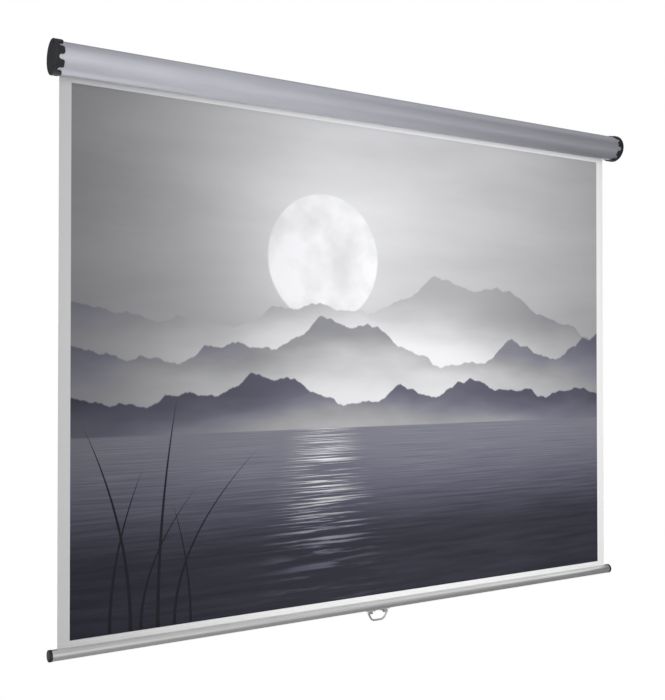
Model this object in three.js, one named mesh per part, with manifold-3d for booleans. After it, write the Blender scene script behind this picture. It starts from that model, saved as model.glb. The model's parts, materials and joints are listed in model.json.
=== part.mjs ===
// Pull-down projection screen for a wall: a spring roller in a round casing, a white fabric with a
// picture area, and a round weight bar with a wire handle.
// Millimetres. +X runs along the casing to the right, +Y into the wall, +Z up. The origin lies on the
// wall's face, midway between the two wall brackets, at the height of the roller's axis.

import * as THREE from 'three';
import { mergeVertices } from 'three/addons/utils/BufferGeometryUtils.js';
import Module from 'manifold-3d';

// Fabric and picture
const pictureWidth = 1500;
const pictureHeight = 1125;
const sideBorder = 25;
const pictureTopDrop = 39;
const bottomStrip = 13;
const fabricThickness = 0.3;
const fabricTopDrop = 5;
const hemAbovePiece = 8;

// Casing extrusion
const casingRadius = 32.5;
const casingWall = 1.8;
const slotHalfWidth = 5.5;
const slotLipHeight = 4;
const slotLipThickness = 1.2;
const screwPortRadius = 2.4;
const screwPortBore = 1.6;
const screwPortWeld = 0.4;
const screwPortAngles = [115, 235];

// Rear hanging rail, wall brackets and their lock screws
const cleatSlot = 7.5;
const cleatThickness = 2;
const cleatTop = 16;
const cleatDepth = 12;
const railEndInset = 20;
const restRibDrop = 14;
const bracketInset = 175;
const bracketWidth = 40;
const bracketHalfHeight = 28;
const bracketThickness = 2.5;
const bracketGap = 1.5;
const bracketTongue = 2.4;
const hookClearance = 0.6;
const bracketTabGap = 4;
const bracketTabReach = 10;
const wallHoleRadius = 3;
const wallHoleUp = 20;
const wallHoleDown = 10;
const lockScrewRadius = 1.7;
const lockScrewHeadRadius = 3.4;
const lockScrewHeadHeight = 2.4;
const lockScrewTop = 2;

// End caps
const capDisc = 3;
const capRim = 2.5;
const capTongueThickness = 3.2;
const capTongueLength = 11.5;
const capTongueCount = 8;
const capTonguePhase = 33.5;
const capGapWidth = 11.4;
const capTongueCorner = 4.2;
const capChamfer = 0.8;
const capBossRadius = 9;
const capBossLength = 8;
const capScrewRadius = 1.3;
const capScrewHeadRadius = 3.1;
const capScrewHeadHeight = 1.8;
const capScrewLength = 14;

// Roller
const rollerRadius = 22;
const rollerWall = 1.2;
const rollerOverhang = 2;
const lockGrooveWidth = 7;
const lockGrooveDepth = 3;
const lockGrooveWall = 1.2;
const lockGrooveAngle = 160;
const fabricWraps = 2;
const plugFlange = 3;
const plugLength = 20;

// Fixed shaft, ratchet wheel and pawls
const shaftRadius = 4;
const shaftFlatHalf = 2.6;
const shaftFlatSeat = 7.4;
const ratchetRadius = 11;
const ratchetThickness = 5;
const ratchetToothDepth = 3;
const ratchetTeeth = 4;
const ratchetRampDegrees = 50;
const ratchetToothPhase = 60;
const ratchetGap = 0.4;
const bossGap = 0.6;
const pawlGap = 0.5;
const pawlThickness = 4;
const pawlPivotRadius = 15.2;
const pawlHubRadius = 3.6;
const pawlInnerRadius = 11.6;
const pawlOuterRadius = 15.4;
const pawlNoseClearance = 0.45;
const pawlNoseDegrees = 16;
const pawlNoseGapDegrees = 2.4;
const pawlSwingDegrees = 16;
const pawlPinRadius = 2;
const pawlPinHeadRadius = 3.4;
const pawlPinHeadHeight = 1.1;
const pawlPinDepth = 8;

// Torsion spring, its fixed collar and its driver in the roller
const springMeanRadius = 9;
const springWireRadius = 1;
const springCurls = 24;
const springPitch = 8;
const springLeg = 7;
const springLegInsert = 5;
const springHoleRadius = 1.5;
const collarGapFromPlug = 6;
const collarRadius = 12;
const collarLength = 9;
const collarPinRadius = 1.3;
const driverLength = 16;
const driverScrewRadius = 1.5;
const driverScrewLength = 9;
const shaftEndInDriver = 2;

// Idle end
const idlePinRadius = 4;
const idlePinLength = 30;
const bushRadius = 6.4;
const bushFlangeRadius = 8.4;
const bushFlange = 1.2;

// Weight bar
const barRadius = 11.5;
const barWall = 1.4;
const barOverhang = 16;
const barSlotWidth = 2.6;
const barCapRadius = 12;
const barCapDisc = 3;
const barCapSpigot = 10;
const barCapWall = 2;
const hemRodRadius = 2.4;

// Handle and its saddle
const saddleThickness = 1.5;
const saddleLength = 66;
const saddleHalfDegrees = 34;
const saddleScrewSpacing = 20;
const saddleScrewRadius = 1.4;
const saddleScrewHeadRadius = 2.9;
const saddleScrewHeadHeight = 1.5;
const saddleScrewLength = 6;
const knuckleRadius = 4.1;
const knuckleLength = 6.5;
const handleWireRadius = 2.25;
const handleTopWidth = 56;
const handleBottomWidth = 34;
const handleDrop = 19.5;
const handleCorner = 9;
const handleEndInset = 8.5;

// Clearances and cutting values
const seatGap = 0.3;
const runningGap = 0.4;
const overrun = 2;
const roundSides = 48;
const smallSides = 16;

// Places worked out from the sizes above. In the section plane, y runs from the roller's axis towards
// the wall and z up from the roller's axis.
const casingBore = casingRadius - casingWall;
const rollOuterRadius = rollerRadius + seatGap + fabricWraps * fabricThickness;
const fabricY = rollOuterRadius - fabricThickness / 2;
const fabricWidth = pictureWidth + 2 * sideBorder;
const bracketSpacing = fabricWidth - 2 * bracketInset;
const rollerHalf = fabricWidth / 2 + rollerOverhang;
const flangeX = rollerHalf + plugFlange;
const ratchetEndX = flangeX + ratchetGap + ratchetThickness;
const bossFaceX = ratchetEndX + bossGap;
const capDiscX = bossFaceX + capBossLength;
const capFaceX = capDiscX + capDisc;
const casingHalf = capDiscX - seatGap;
const capSleeveBore = casingRadius + seatGap;
const capRadius = capSleeveBore + capTongueThickness;
const axisToWall = casingRadius + cleatSlot + cleatThickness + bracketGap + bracketThickness;
const pictureBottomZ = -(pictureTopDrop + pictureHeight);
const barZ = pictureBottomZ - bottomStrip - barRadius;
const hemTopZ = barZ + barRadius + hemAbovePiece;
const barHalf = fabricWidth / 2 + barOverhang;
const pivotDrop = barRadius + seatGap + saddleThickness + knuckleRadius - saddleThickness / 2;
const portRadius = casingBore - screwPortRadius + screwPortWeld;

const wasm = await Module();
wasm.setup();

const finishes = {
  anodised: { color: 0xb4b5be, roughness: 0.42, metalness: 0.85 },
  blackPlastic: { color: 0x1d1f24, roughness: 0.5, metalness: 0 },
  zincSteel: { color: 0xa6a8aa, roughness: 0.38, metalness: 0.9 },
  blackSteel: { color: 0x2b2c2f, roughness: 0.45, metalness: 0.8 },
  springSteel: { color: 0x6d6f73, roughness: 0.35, metalness: 0.95 },
  brass: { color: 0xb79a56, roughness: 0.4, metalness: 0.9 },
  nylon: { color: 0xe9e6dc, roughness: 0.55, metalness: 0 },
  fabric: { color: 0xeeeeef, roughness: 0.85, metalness: 0 },
  barAluminium: { color: 0xa9a9ab, roughness: 0.36, metalness: 0.85 },
  greyPlastic: { color: 0x4a4b4e, roughness: 0.5, metalness: 0 },
  wire: { color: 0x97989b, roughness: 0.3, metalness: 0.95 },
};

const screen = new THREE.Group();
const radians = THREE.MathUtils.degToRad;

// Turning three.js geometries into solids and back

function toSolid(geometry) {
  const bare = geometry.clone();
  bare.deleteAttribute('normal');
  bare.deleteAttribute('uv');
  const merged = mergeVertices(bare, 1e-4);
  const points = merged.getAttribute('position').array;
  const corners = merged.getIndex().array;
  const kept = [];
  for (let i = 0; i < corners.length; i += 3) {
    const [a, b, c] = [corners[i], corners[i + 1], corners[i + 2]];
    if (a !== b && b !== c && c !== a) kept.push(a, b, c);
  }
  const vertProperties = new Float32Array(points);
  const triVerts = new Uint32Array(kept);
  const solid = new wasm.Manifold(new wasm.Mesh({ numProp: 3, vertProperties, triVerts }));
  if (solid.volume() > 0) return solid;
  triVerts.reverse();
  return new wasm.Manifold(new wasm.Mesh({ numProp: 3, vertProperties, triVerts }));
}

function toGeometry(solid) {
  const mesh = solid.getMesh();
  const geometry = new THREE.BufferGeometry();
  const positions = new Float32Array(mesh.vertProperties);
  geometry.setAttribute('position', new THREE.BufferAttribute(positions, 3));
  geometry.setIndex(new THREE.BufferAttribute(new Uint32Array(mesh.triVerts), 1));
  geometry.computeVertexNormals();
  return geometry;
}

// Adds a solid drawn in the section frame: its origin is on the roller's axis, not on the wall.
function addPart(name, solid, finish) {
  const mesh = new THREE.Mesh(toGeometry(solid), new THREE.MeshStandardMaterial(finishes[finish]));
  mesh.name = name;
  mesh.position.set(0, -axisToWall, 0);
  screen.add(mesh);
}

function join(...solids) {
  return solids.reduce((whole, piece) => whole.add(piece));
}

function cut(solid, ...tools) {
  return tools.reduce((rest, tool) => rest.subtract(tool), solid);
}

// Shapes in the section plane, extruded along X

const alongX = new THREE.Matrix4().set(
  0, 0, 1, 0,
  1, 0, 0, 0,
  0, 1, 0, 0,
  0, 0, 0, 1,
);

function extrudeX(shape, fromX, toX) {
  const depth = Math.abs(toX - fromX);
  const geometry = new THREE.ExtrudeGeometry(shape, { depth, bevelEnabled: false, steps: 1 });
  geometry.applyMatrix4(alongX);
  geometry.translate(Math.min(fromX, toX), 0, 0);
  return toSolid(geometry);
}

function polygon(points) {
  return new THREE.Shape(points.map(([y, z]) => new THREE.Vector2(y, z)));
}

function rectangle(y0, y1, z0, z1) {
  return polygon([[y0, z0], [y1, z0], [y1, z1], [y0, z1]]);
}

function polar(radius, degrees, centre = [0, 0]) {
  const turn = radians(degrees);
  return [centre[0] + radius * Math.cos(turn), centre[1] + radius * Math.sin(turn)];
}

function arc(radius, fromDegrees, toDegrees, steps, centre) {
  const points = [];
  for (let i = 0; i <= steps; i += 1) {
    points.push(polar(radius, fromDegrees + ((toDegrees - fromDegrees) * i) / steps, centre));
  }
  return points;
}

function circle(radius, centre, sides = roundSides) {
  return polygon(arc(radius, 0, 360, sides, centre).slice(0, sides));
}

function rodX(radius, fromX, toX, centre = [0, 0], sides = smallSides) {
  return extrudeX(circle(radius, centre, sides), fromX, toX);
}

function boxX(fromX, toX, y0, y1, z0, z1) {
  return extrudeX(rectangle(y0, y1, z0, z1), fromX, toX);
}

// A turned solid about an axis through a place; the profile gives [radius, height along the axis].
function turned(profile, place, direction, sides = smallSides) {
  const geometry = new THREE.LatheGeometry(profile.map(([r, h]) => new THREE.Vector2(r, h)), sides);
  const aim = new THREE.Quaternion();
  aim.setFromUnitVectors(new THREE.Vector3(0, 1, 0), new THREE.Vector3(...direction));
  geometry.applyQuaternion(aim);
  geometry.translate(...place);
  return toSolid(geometry);
}

function rodAlong(radius, length, place, direction, sides = smallSides) {
  return turned([[0, 0], [radius, 0], [radius, length], [0, length]], place, direction, sides);
}

// Round wire with two flats, as milled on the fixed shaft
function flattedShape(radius, flatHalf) {
  const edge = THREE.MathUtils.radToDeg(Math.asin(flatHalf / radius));
  const half = smallSides / 4;
  return polygon([...arc(radius, -edge, edge, half), ...arc(radius, 180 - edge, 180 + edge, half)]);
}

// Casing: a round extrusion, open along a slot at the bottom rear where the fabric drops, with two
// screw ports inside and a hanging rail behind.
function casing() {
  const tube = cut(
    extrudeX(circle(casingRadius), -casingHalf, casingHalf),
    extrudeX(circle(casingBore), -casingHalf - overrun, casingHalf + overrun),
  );
  const slotFront = fabricY - slotHalfWidth;
  const slotRear = fabricY + slotHalfWidth;
  const slot = boxX(-casingHalf - overrun, casingHalf + overrun, slotFront, slotRear, -casingRadius, 0);
  const frontLipZ = -Math.sqrt(casingRadius ** 2 - slotFront ** 2);
  const rearLipOuterY = slotRear + slotLipThickness;
  const rearLipZ = -Math.sqrt(casingRadius ** 2 - rearLipOuterY ** 2);
  const frontLipInnerY = slotFront - slotLipThickness;
  const frontLip = boxX(
    -casingHalf, casingHalf, frontLipInnerY, slotFront, frontLipZ, frontLipZ + slotLipHeight,
  );
  const rearLip = boxX(
    -casingHalf, casingHalf, slotRear, rearLipOuterY, rearLipZ, rearLipZ + slotLipHeight,
  );
  let body = join(tube.subtract(slot), frontLip, rearLip, ...hangingRail());
  for (const angle of screwPortAngles) {
    const centre = polar(portRadius, angle);
    body = body.add(rodX(screwPortRadius, -casingHalf, casingHalf, centre));
    body = body.subtract(
      rodX(screwPortBore, -casingHalf - overrun, casingHalf + overrun, centre),
    );
  }
  for (const side of [-1, 1]) {
    body = body.subtract(lockScrewHole(side));
  }
  return body;
}

// The rail behind the casing: a hook that faces down, and a rib that rests against the bracket.
function hangingRail() {
  const railHalf = casingHalf - railEndInset;
  const hookFaceY = casingRadius + cleatSlot;
  const hookBackY = hookFaceY + cleatThickness;
  const surfaceY = Math.sqrt(casingBore ** 2 - cleatTop ** 2);
  const ribSurfaceY = Math.sqrt(casingBore ** 2 - (restRibDrop + cleatThickness) ** 2);
  const plateFaceY = axisToWall - bracketThickness;
  return [
    boxX(-railHalf, railHalf, surfaceY, hookBackY, cleatTop - cleatThickness, cleatTop),
    boxX(-railHalf, railHalf, hookFaceY, hookBackY, cleatTop - cleatDepth, cleatTop),
    boxX(
      -railHalf, railHalf, ribSurfaceY, plateFaceY - seatGap, -restRibDrop - cleatThickness, -restRibDrop,
    ),
  ];
}

const bracketTabTop = -(restRibDrop + cleatThickness + bracketTabGap);
const bracketTabBottom = bracketTabTop - bracketTongue;
const plateFrontY = axisToWall - bracketThickness;
const lockScrewY = plateFrontY - bracketTabReach / 2;

function lockScrewHole(side) {
  const place = [(side * bracketSpacing) / 2, lockScrewY, bracketTabBottom - overrun];
  const reach = -restRibDrop - bracketTabBottom + 2 * overrun;
  return rodAlong(lockScrewRadius + seatGap, reach, place, [0, 0, 1]);
}

// Pressed steel bracket: a plate on the wall, a tongue that the casing's rail hangs on, and a tab
// below it for the lock screw.
function wallBracket(side) {
  const middle = (side * bracketSpacing) / 2;
  const fromX = middle - bracketWidth / 2;
  const toX = middle + bracketWidth / 2;
  const tongueBackY = casingRadius + cleatSlot - hookClearance;
  const tongueFrontY = tongueBackY - bracketTongue;
  const tongueTop = cleatTop - cleatThickness - hookClearance;
  const shelfTop = cleatTop - cleatDepth - hookClearance;
  const shelfBottom = shelfTop - bracketTongue;
  const outline = polygon([
    [axisToWall, -bracketHalfHeight],
    [axisToWall, bracketHalfHeight],
    [plateFrontY, bracketHalfHeight],
    [plateFrontY, shelfTop],
    [tongueBackY, shelfTop],
    [tongueBackY, tongueTop],
    [tongueFrontY, tongueTop],
    [tongueFrontY, shelfBottom],
    [plateFrontY, shelfBottom],
    [plateFrontY, bracketTabTop],
    [plateFrontY - bracketTabReach, bracketTabTop],
    [plateFrontY - bracketTabReach, bracketTabBottom],
    [plateFrontY, bracketTabBottom],
    [plateFrontY, -bracketHalfHeight],
  ]);
  const depth = bracketThickness + 2 * overrun;
  const wallHoles = [wallHoleUp, -wallHoleDown].map((height) => (
    rodAlong(wallHoleRadius, depth, [middle, plateFrontY - overrun, height], [0, 1, 0])
  ));
  return cut(extrudeX(outline, fromX, toX), ...wallHoles, lockScrewHole(side));
}

function lockScrew(side) {
  const headBottom = bracketTabBottom - seatGap - lockScrewHeadHeight;
  const shankTop = -restRibDrop + lockScrewTop - headBottom;
  const profile = [
    [0, 0],
    [lockScrewHeadRadius, 0],
    [lockScrewHeadRadius, lockScrewHeadHeight],
    [lockScrewRadius, lockScrewHeadHeight],
    [lockScrewRadius, shankTop],
    [0, shankTop],
  ];
  return turned(profile, [(side * bracketSpacing) / 2, lockScrewY, headBottom], [0, 0, 1]);
}

// End cap: a disc with a short rim that runs out into tongues lying on the casing. The gaps between
// the tongues have round roots, and the tongues have round corners.
function gapCutter(degrees) {
  const rootRadius = capGapWidth / 2;
  const rootX = capDisc + capRim + rootRadius;
  const tipX = capDisc + capRim + capTongueLength;
  const cornerX = tipX - capTongueCorner;
  const flareSteps = 3;
  const half = [];
  half.push(...arc(rootRadius, 180, 90, flareSteps, [rootX, 0]));
  half.push(...arc(capTongueCorner, -90, 0, flareSteps, [cornerX, rootRadius + capTongueCorner]));
  half.push([tipX + overrun, rootRadius + capTongueCorner]);
  const mirrored = half.slice(1).map(([x, t]) => [x, -t]).reverse();
  const depth = capTongueThickness + 2 * overrun;
  const outline = polygon([...half, ...mirrored]);
  const geometry = new THREE.ExtrudeGeometry(outline, { depth, bevelEnabled: false, steps: 1 });
  geometry.translate(0, 0, capSleeveBore - overrun);
  geometry.rotateX(radians(degrees));
  return toSolid(geometry);
}

// The cap is drawn with its outer face at x = 0 and its tongues towards +X, for the left end.
function capBody() {
  const discProfile = [
    [0, 0],
    [capRadius - capChamfer, 0],
    [capRadius, capChamfer],
    [capRadius, capDisc],
    [0, capDisc],
  ];
  const disc = turned(discProfile, [0, 0, 0], [1, 0, 0], roundSides);
  const sleeveEnd = capDisc + capRim + capTongueLength;
  const sleeve = cut(
    rodX(capRadius, capDisc - seatGap, sleeveEnd, [0, 0], roundSides),
    rodX(capSleeveBore, capDisc, sleeveEnd + overrun, [0, 0], roundSides),
  );
  const gaps = [];
  for (let i = 0; i < capTongueCount; i += 1) {
    gaps.push(gapCutter(capTonguePhase + ((i + 1 / 2) * 360) / capTongueCount));
  }
  const boss = rodX(capBossRadius, capDisc - seatGap, capDisc + capBossLength, [0, 0]);
  const screwHoles = screwPortAngles.map((angle) => {
    const [y, z] = polar(portRadius, angle);
    const headRadius = capScrewHeadRadius + seatGap;
    const headDepth = capScrewHeadHeight + seatGap;
    const profile = [
      [0, -overrun],
      [headRadius, -overrun],
      [headRadius, 0],
      [capScrewRadius + seatGap, headDepth],
      [capScrewRadius + seatGap, capDisc + overrun],
      [0, capDisc + overrun],
    ];
    return turned(profile, [0, y, z], [1, 0, 0]);
  });
  return cut(join(disc, cut(sleeve, ...gaps), boss), ...screwHoles);
}

// Mirrors a solid drawn for the left end to the right end. Front and back stay where they are.
function placedAtEnd(solid, side) {
  return side < 0 ? solid.translate([-capFaceX, 0, 0]) : solid.mirror([1, 0, 0]).translate([capFaceX, 0, 0]);
}

function endCap(side) {
  const depth = capBossLength + overrun;
  const socketShape = side < 0
    ? flattedShape(shaftRadius + seatGap, shaftFlatHalf + seatGap)
    : circle(idlePinRadius + seatGap, [0, 0], smallSides);
  const socketFloor = capDisc + capBossLength - shaftFlatSeat - seatGap;
  const socket = extrudeX(socketShape, socketFloor, socketFloor + depth);
  return placedAtEnd(cut(capBody(), socket), side);
}

function capScrew(side, angle) {
  const [y, z] = polar(portRadius, angle);
  const profile = [
    [0, 0],
    [capScrewHeadRadius, 0],
    [capScrewRadius, capScrewHeadHeight],
    [capScrewRadius, capScrewLength],
    [0, capScrewLength],
  ];
  return placedAtEnd(turned(profile, [0, y, z], [1, 0, 0]), side);
}

// Roller tube with a groove along it that holds the fabric's end
function grooveBlock(fromX, toX, grow) {
  const floor = rollerRadius - lockGrooveDepth - lockGrooveWall - grow;
  const half = lockGrooveWidth / 2 + lockGrooveWall + grow;
  return boxX(fromX, toX, floor, rollerRadius, -half, half).rotate([lockGrooveAngle, 0, 0]);
}

function rollerTube() {
  const bore = rollerRadius - rollerWall;
  const hollow = extrudeX(circle(bore), -rollerHalf - overrun, rollerHalf + overrun);
  const whole = extrudeX(circle(rollerRadius), -rollerHalf, rollerHalf);
  const chordDrop = rollerRadius * (1 - Math.cos(Math.PI / roundSides));
  const insideRound = extrudeX(circle(rollerRadius - chordDrop), -rollerHalf, rollerHalf);
  const block = grooveBlock(-rollerHalf, rollerHalf, 0).intersect(insideRound);
  const floor = rollerRadius - lockGrooveDepth;
  const half = lockGrooveWidth / 2;
  const groove = boxX(
    -rollerHalf - overrun, rollerHalf + overrun, floor, rollerRadius + overrun, -half, half,
  ).rotate([lockGrooveAngle, 0, 0]);
  return cut(join(cut(whole, hollow), block), groove, ...driverScrewHoles());
}

function fabricLockStrip() {
  const half = lockGrooveWidth / 2 - seatGap;
  const floor = rollerRadius - lockGrooveDepth + seatGap;
  const top = rollerRadius * Math.cos(Math.asin(lockGrooveWidth / 2 / rollerRadius)) - seatGap / 2;
  return boxX(-rollerHalf, rollerHalf, floor, top, -half, half).rotate([lockGrooveAngle, 0, 0]);
}

// The fabric that stays on the roller: its outer layer starts where the fabric drops, at the rear, and
// lies one thickness lower after a turn.
function fabricRoll() {
  const points = [];
  for (let i = 0; i <= roundSides; i += 1) {
    const share = i / roundSides;
    points.push(polar(rollOuterRadius - fabricThickness * share, 360 * share));
  }
  const half = fabricWidth / 2;
  const sleeve = extrudeX(polygon(points), -half, half);
  return cut(sleeve, extrudeX(circle(rollerRadius + seatGap), -half - overrun, half + overrun));
}

// Plugs in the roller's two ends
function rollerPlug(side) {
  const plugRadius = rollerRadius - rollerWall - seatGap;
  const inner = side * (rollerHalf - plugLength);
  const body = join(
    rodX(rollerRadius, side * flangeX, side * (rollerHalf + seatGap), [0, 0], roundSides),
    rodX(plugRadius, side * (flangeX - plugFlange / 2), inner, [0, 0], roundSides),
  );
  const grooveEnd = side * (rollerHalf + seatGap);
  const groove = grooveBlock(inner - side * overrun, grooveEnd, seatGap);
  const boreEnds = [side * (flangeX + overrun), inner - side * overrun];
  if (side < 0) {
    const pins = [0, 1].map((index) => pawlPinHole(index));
    return cut(body, groove, rodX(shaftRadius + seatGap, ...boreEnds), ...pins);
  }
  const flangeSeat = rodX(
    bushFlangeRadius + seatGap, side * (flangeX + overrun), side * (flangeX - bushFlange - seatGap),
  );
  return cut(body, groove, rodX(bushRadius + seatGap, ...boreEnds), flangeSeat);
}

function idlerBush() {
  const outer = flangeX - seatGap / 2;
  const inner = rollerHalf - plugLength;
  return cut(
    join(
      rodX(bushRadius, inner, outer),
      rodX(bushFlangeRadius, outer - bushFlange, outer),
    ),
    rodX(idlePinRadius + seatGap, inner - overrun, outer + overrun),
  );
}

// Fixed steel shaft at the spring end: flats hold it in the cap and hold the ratchet wheel on it.
const shaftOuterX = -(bossFaceX + shaftFlatSeat);
const collarFromX = -(rollerHalf - plugLength - collarGapFromPlug);
const collarToX = collarFromX + collarLength;
const springFromX = collarToX - springLegInsert;
const springHelix = springCurls * springPitch;
const springToX = springFromX + 2 * springLeg + springHelix;
const driverFromX = springToX - springLegInsert;
const driverToX = driverFromX + driverLength;

function collarPinHole() {
  const middle = (collarFromX + springFromX) / 2;
  const place = [middle, 0, -collarRadius - overrun];
  return rodAlong(collarPinRadius + seatGap, 2 * (collarRadius + overrun), place, [0, 0, 1]);
}

function springShaft() {
  const flatsEnd = -(flangeX + ratchetGap);
  const body = join(
    extrudeX(flattedShape(shaftRadius, shaftFlatHalf), shaftOuterX, flatsEnd + seatGap),
    rodX(shaftRadius, flatsEnd, driverToX - shaftEndInDriver),
  );
  return cut(body, collarPinHole());
}

function springCollar() {
  const bore = rodX(shaftRadius + seatGap, collarFromX - overrun, collarToX + overrun);
  const legHole = rodX(
    springHoleRadius, springFromX - seatGap, collarToX + overrun, [springMeanRadius, 0],
  );
  return cut(rodX(collarRadius, collarFromX, collarToX), bore, legHole, collarPinHole());
}

function collarPin() {
  const middle = (collarFromX + springFromX) / 2;
  return rodAlong(collarPinRadius, 2 * collarRadius, [middle, 0, -collarRadius], [0, 0, 1]);
}

function driverScrewHoles() {
  return [0, 1].map((index) => driverScrewShape(index, seatGap, 2 * overrun));
}

function driverScrewShape(index, grow, extra) {
  const outer = rollerRadius - seatGap + extra;
  const length = driverScrewLength + extra + grow;
  const place = [(driverFromX + driverToX) / 2, 0, outer - length];
  const rod = rodAlong(driverScrewRadius + grow, length, place, [0, 0, 1]);
  return rod.rotate([180 * index, 0, 0]);
}

function springDriver() {
  const body = rodX(rollerRadius - rollerWall - seatGap, driverFromX, driverToX, [0, 0], roundSides);
  const bore = rodX(shaftRadius + seatGap, driverFromX - overrun, driverToX + overrun);
  const legHole = rodX(
    springHoleRadius, driverFromX - overrun, springToX + seatGap, [springMeanRadius, 0],
  );
  const groove = grooveBlock(driverFromX - overrun, driverToX + overrun, seatGap);
  return cut(body, bore, legHole, groove, ...driverScrewHoles());
}

// Torsion spring: a helix whose wire turns along the axis at both ends, into the collar and the driver
class SpringCurve extends THREE.Curve {
  getPoint(t, target = new THREE.Vector3()) {
    const bend = 1 / 4;
    const turns = springCurls;
    const travelled = t * (turns + 2 * bend) - bend;
    const within = THREE.MathUtils.clamp(travelled, 0, turns);
    const outside = travelled - within;
    const x = springFromX + springLeg + springPitch * within + (springLeg * outside) / bend;
    const angle = 2 * Math.PI * within;
    return target.set(x, springMeanRadius * Math.cos(angle), springMeanRadius * Math.sin(angle));
  }
}

function torsionSpring() {
  const stepsPerCurl = 8;
  const steps = stepsPerCurl * springCurls;
  const path = new SpringCurve();
  path.arcLengthDivisions = 4 * steps;
  const wire = circle(springWireRadius, [0, 0], 5);
  const geometry = new THREE.ExtrudeGeometry(wire, { steps, extrudePath: path, bevelEnabled: false });
  return toSolid(geometry);
}

// Ratchet wheel, fixed on the shaft: each tooth has a radial face and a long ramp behind it.
function ratchetWheel() {
  const points = [];
  const rampSteps = 6;
  for (let tooth = 0; tooth < ratchetTeeth; tooth += 1) {
    const face = ratchetToothPhase + (tooth * 360) / ratchetTeeth;
    for (let i = 0; i <= rampSteps; i += 1) {
      const share = i / rampSteps;
      const angle = face - ratchetRampDegrees * (1 - share);
      points.push(polar(ratchetRadius - ratchetToothDepth * share, angle));
    }
    const landEnd = face + 360 / ratchetTeeth - ratchetRampDegrees;
    points.push(...arc(ratchetRadius, face, landEnd, rampSteps).slice(0, rampSteps));
  }
  const outer = -(flangeX + ratchetGap + ratchetThickness);
  const inner = -(flangeX + ratchetGap);
  const bore = extrudeX(
    flattedShape(shaftRadius + seatGap, shaftFlatHalf + seatGap), outer - overrun, inner + overrun,
  );
  return cut(extrudeX(polygon(points), outer, inner), bore);
}

// Pawls: bent fingers that swing on pins in the roller's end. They are drawn engaged, with the nose
// in a notch, and turned back clear of the wheel for the rest position.
const pawlOuterX = -(flangeX + pawlGap + pawlThickness);
const pawlInnerX = -(flangeX + pawlGap);

function pawlOutline() {
  const tip = ratchetToothPhase - pawlNoseGapDegrees;
  const heel = tip - pawlNoseDegrees;
  const rampAt = (angle) => {
    const back = (ratchetToothPhase - angle) / ratchetRampDegrees;
    return ratchetRadius - ratchetToothDepth * (1 - back) + pawlNoseClearance;
  };
  const armSteps = 8;
  return polygon([
    ...arc(pawlOuterRadius, 0, tip, armSteps),
    polar(rampAt(tip), tip),
    polar(rampAt(heel), heel),
    ...arc(pawlInnerRadius, heel, 0, armSteps),
  ]);
}

function pawl(index) {
  const pivot = [pawlPivotRadius, 0];
  const blank = join(
    extrudeX(pawlOutline(), pawlOuterX, pawlInnerX),
    rodX(pawlHubRadius, pawlOuterX, pawlInnerX, pivot),
  );
  const bore = rodX(pawlPinRadius + runningGap, pawlOuterX - overrun, pawlInnerX + overrun, pivot);
  const engaged = blank.subtract(bore).translate([0, -pawlPivotRadius, 0]);
  const released = engaged.rotate([-pawlSwingDegrees, 0, 0]).translate([0, pawlPivotRadius, 0]);
  return released.rotate([180 * index, 0, 0]);
}

function pawlPin(index) {
  const headX = pawlOuterX - seatGap;
  const pin = join(
    rodX(pawlPinRadius, headX - pawlPinHeadHeight, -flangeX + pawlPinDepth, [pawlPivotRadius, 0]),
    rodX(pawlPinHeadRadius, headX - pawlPinHeadHeight, headX, [pawlPivotRadius, 0]),
  );
  return pin.rotate([180 * index, 0, 0]);
}

function pawlPinHole(index) {
  const floor = -flangeX + pawlPinDepth + seatGap;
  const hole = rodX(pawlPinRadius + seatGap, -flangeX - overrun, floor, [pawlPivotRadius, 0]);
  return hole.rotate([180 * index, 0, 0]);
}

function idlePin() {
  const outer = bossFaceX + shaftFlatSeat;
  return rodX(idlePinRadius, outer - idlePinLength, outer);
}

// Hanging fabric, from just below the roller to the hem
function screenFabric() {
  const half = fabricWidth / 2;
  const face = rollOuterRadius - fabricThickness;
  return boxX(-half, half, face, rollOuterRadius, hemTopZ + seatGap, -fabricTopDrop);
}

// Weight bar: a round tube, slotted on top, where the fabric's hem hangs on a rod inside
const barPlace = [fabricY, barZ];
const hemLoopBore = hemRodRadius + seatGap;
const hemLoopRadius = hemLoopBore + fabricThickness;
const hemRodZ = barZ + barRadius - barWall - seatGap - hemLoopRadius;

function weightBar() {
  const tube = cut(
    rodX(barRadius, -barHalf, barHalf, barPlace, roundSides),
    rodX(barRadius - barWall, -barHalf - overrun, barHalf + overrun, barPlace, roundSides),
  );
  const slot = boxX(
    -barHalf - overrun, barHalf + overrun,
    fabricY - barSlotWidth / 2, fabricY + barSlotWidth / 2, barZ, barZ + barRadius + overrun,
  );
  return cut(tube, slot, ...saddleScrewHoles());
}

function fabricHem() {
  const half = fabricWidth / 2;
  const loop = rodX(hemLoopRadius, -half, half, [fabricY, hemRodZ]);
  const strip = boxX(
    -half, half, fabricY - fabricThickness, fabricY + fabricThickness, hemRodZ + hemLoopBore, hemTopZ,
  );
  return cut(join(loop, strip), rodX(hemLoopBore, -half - overrun, half + overrun, [fabricY, hemRodZ]));
}

function hemRod() {
  return rodX(hemRodRadius, -fabricWidth / 2, fabricWidth / 2, [fabricY, hemRodZ]);
}

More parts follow.
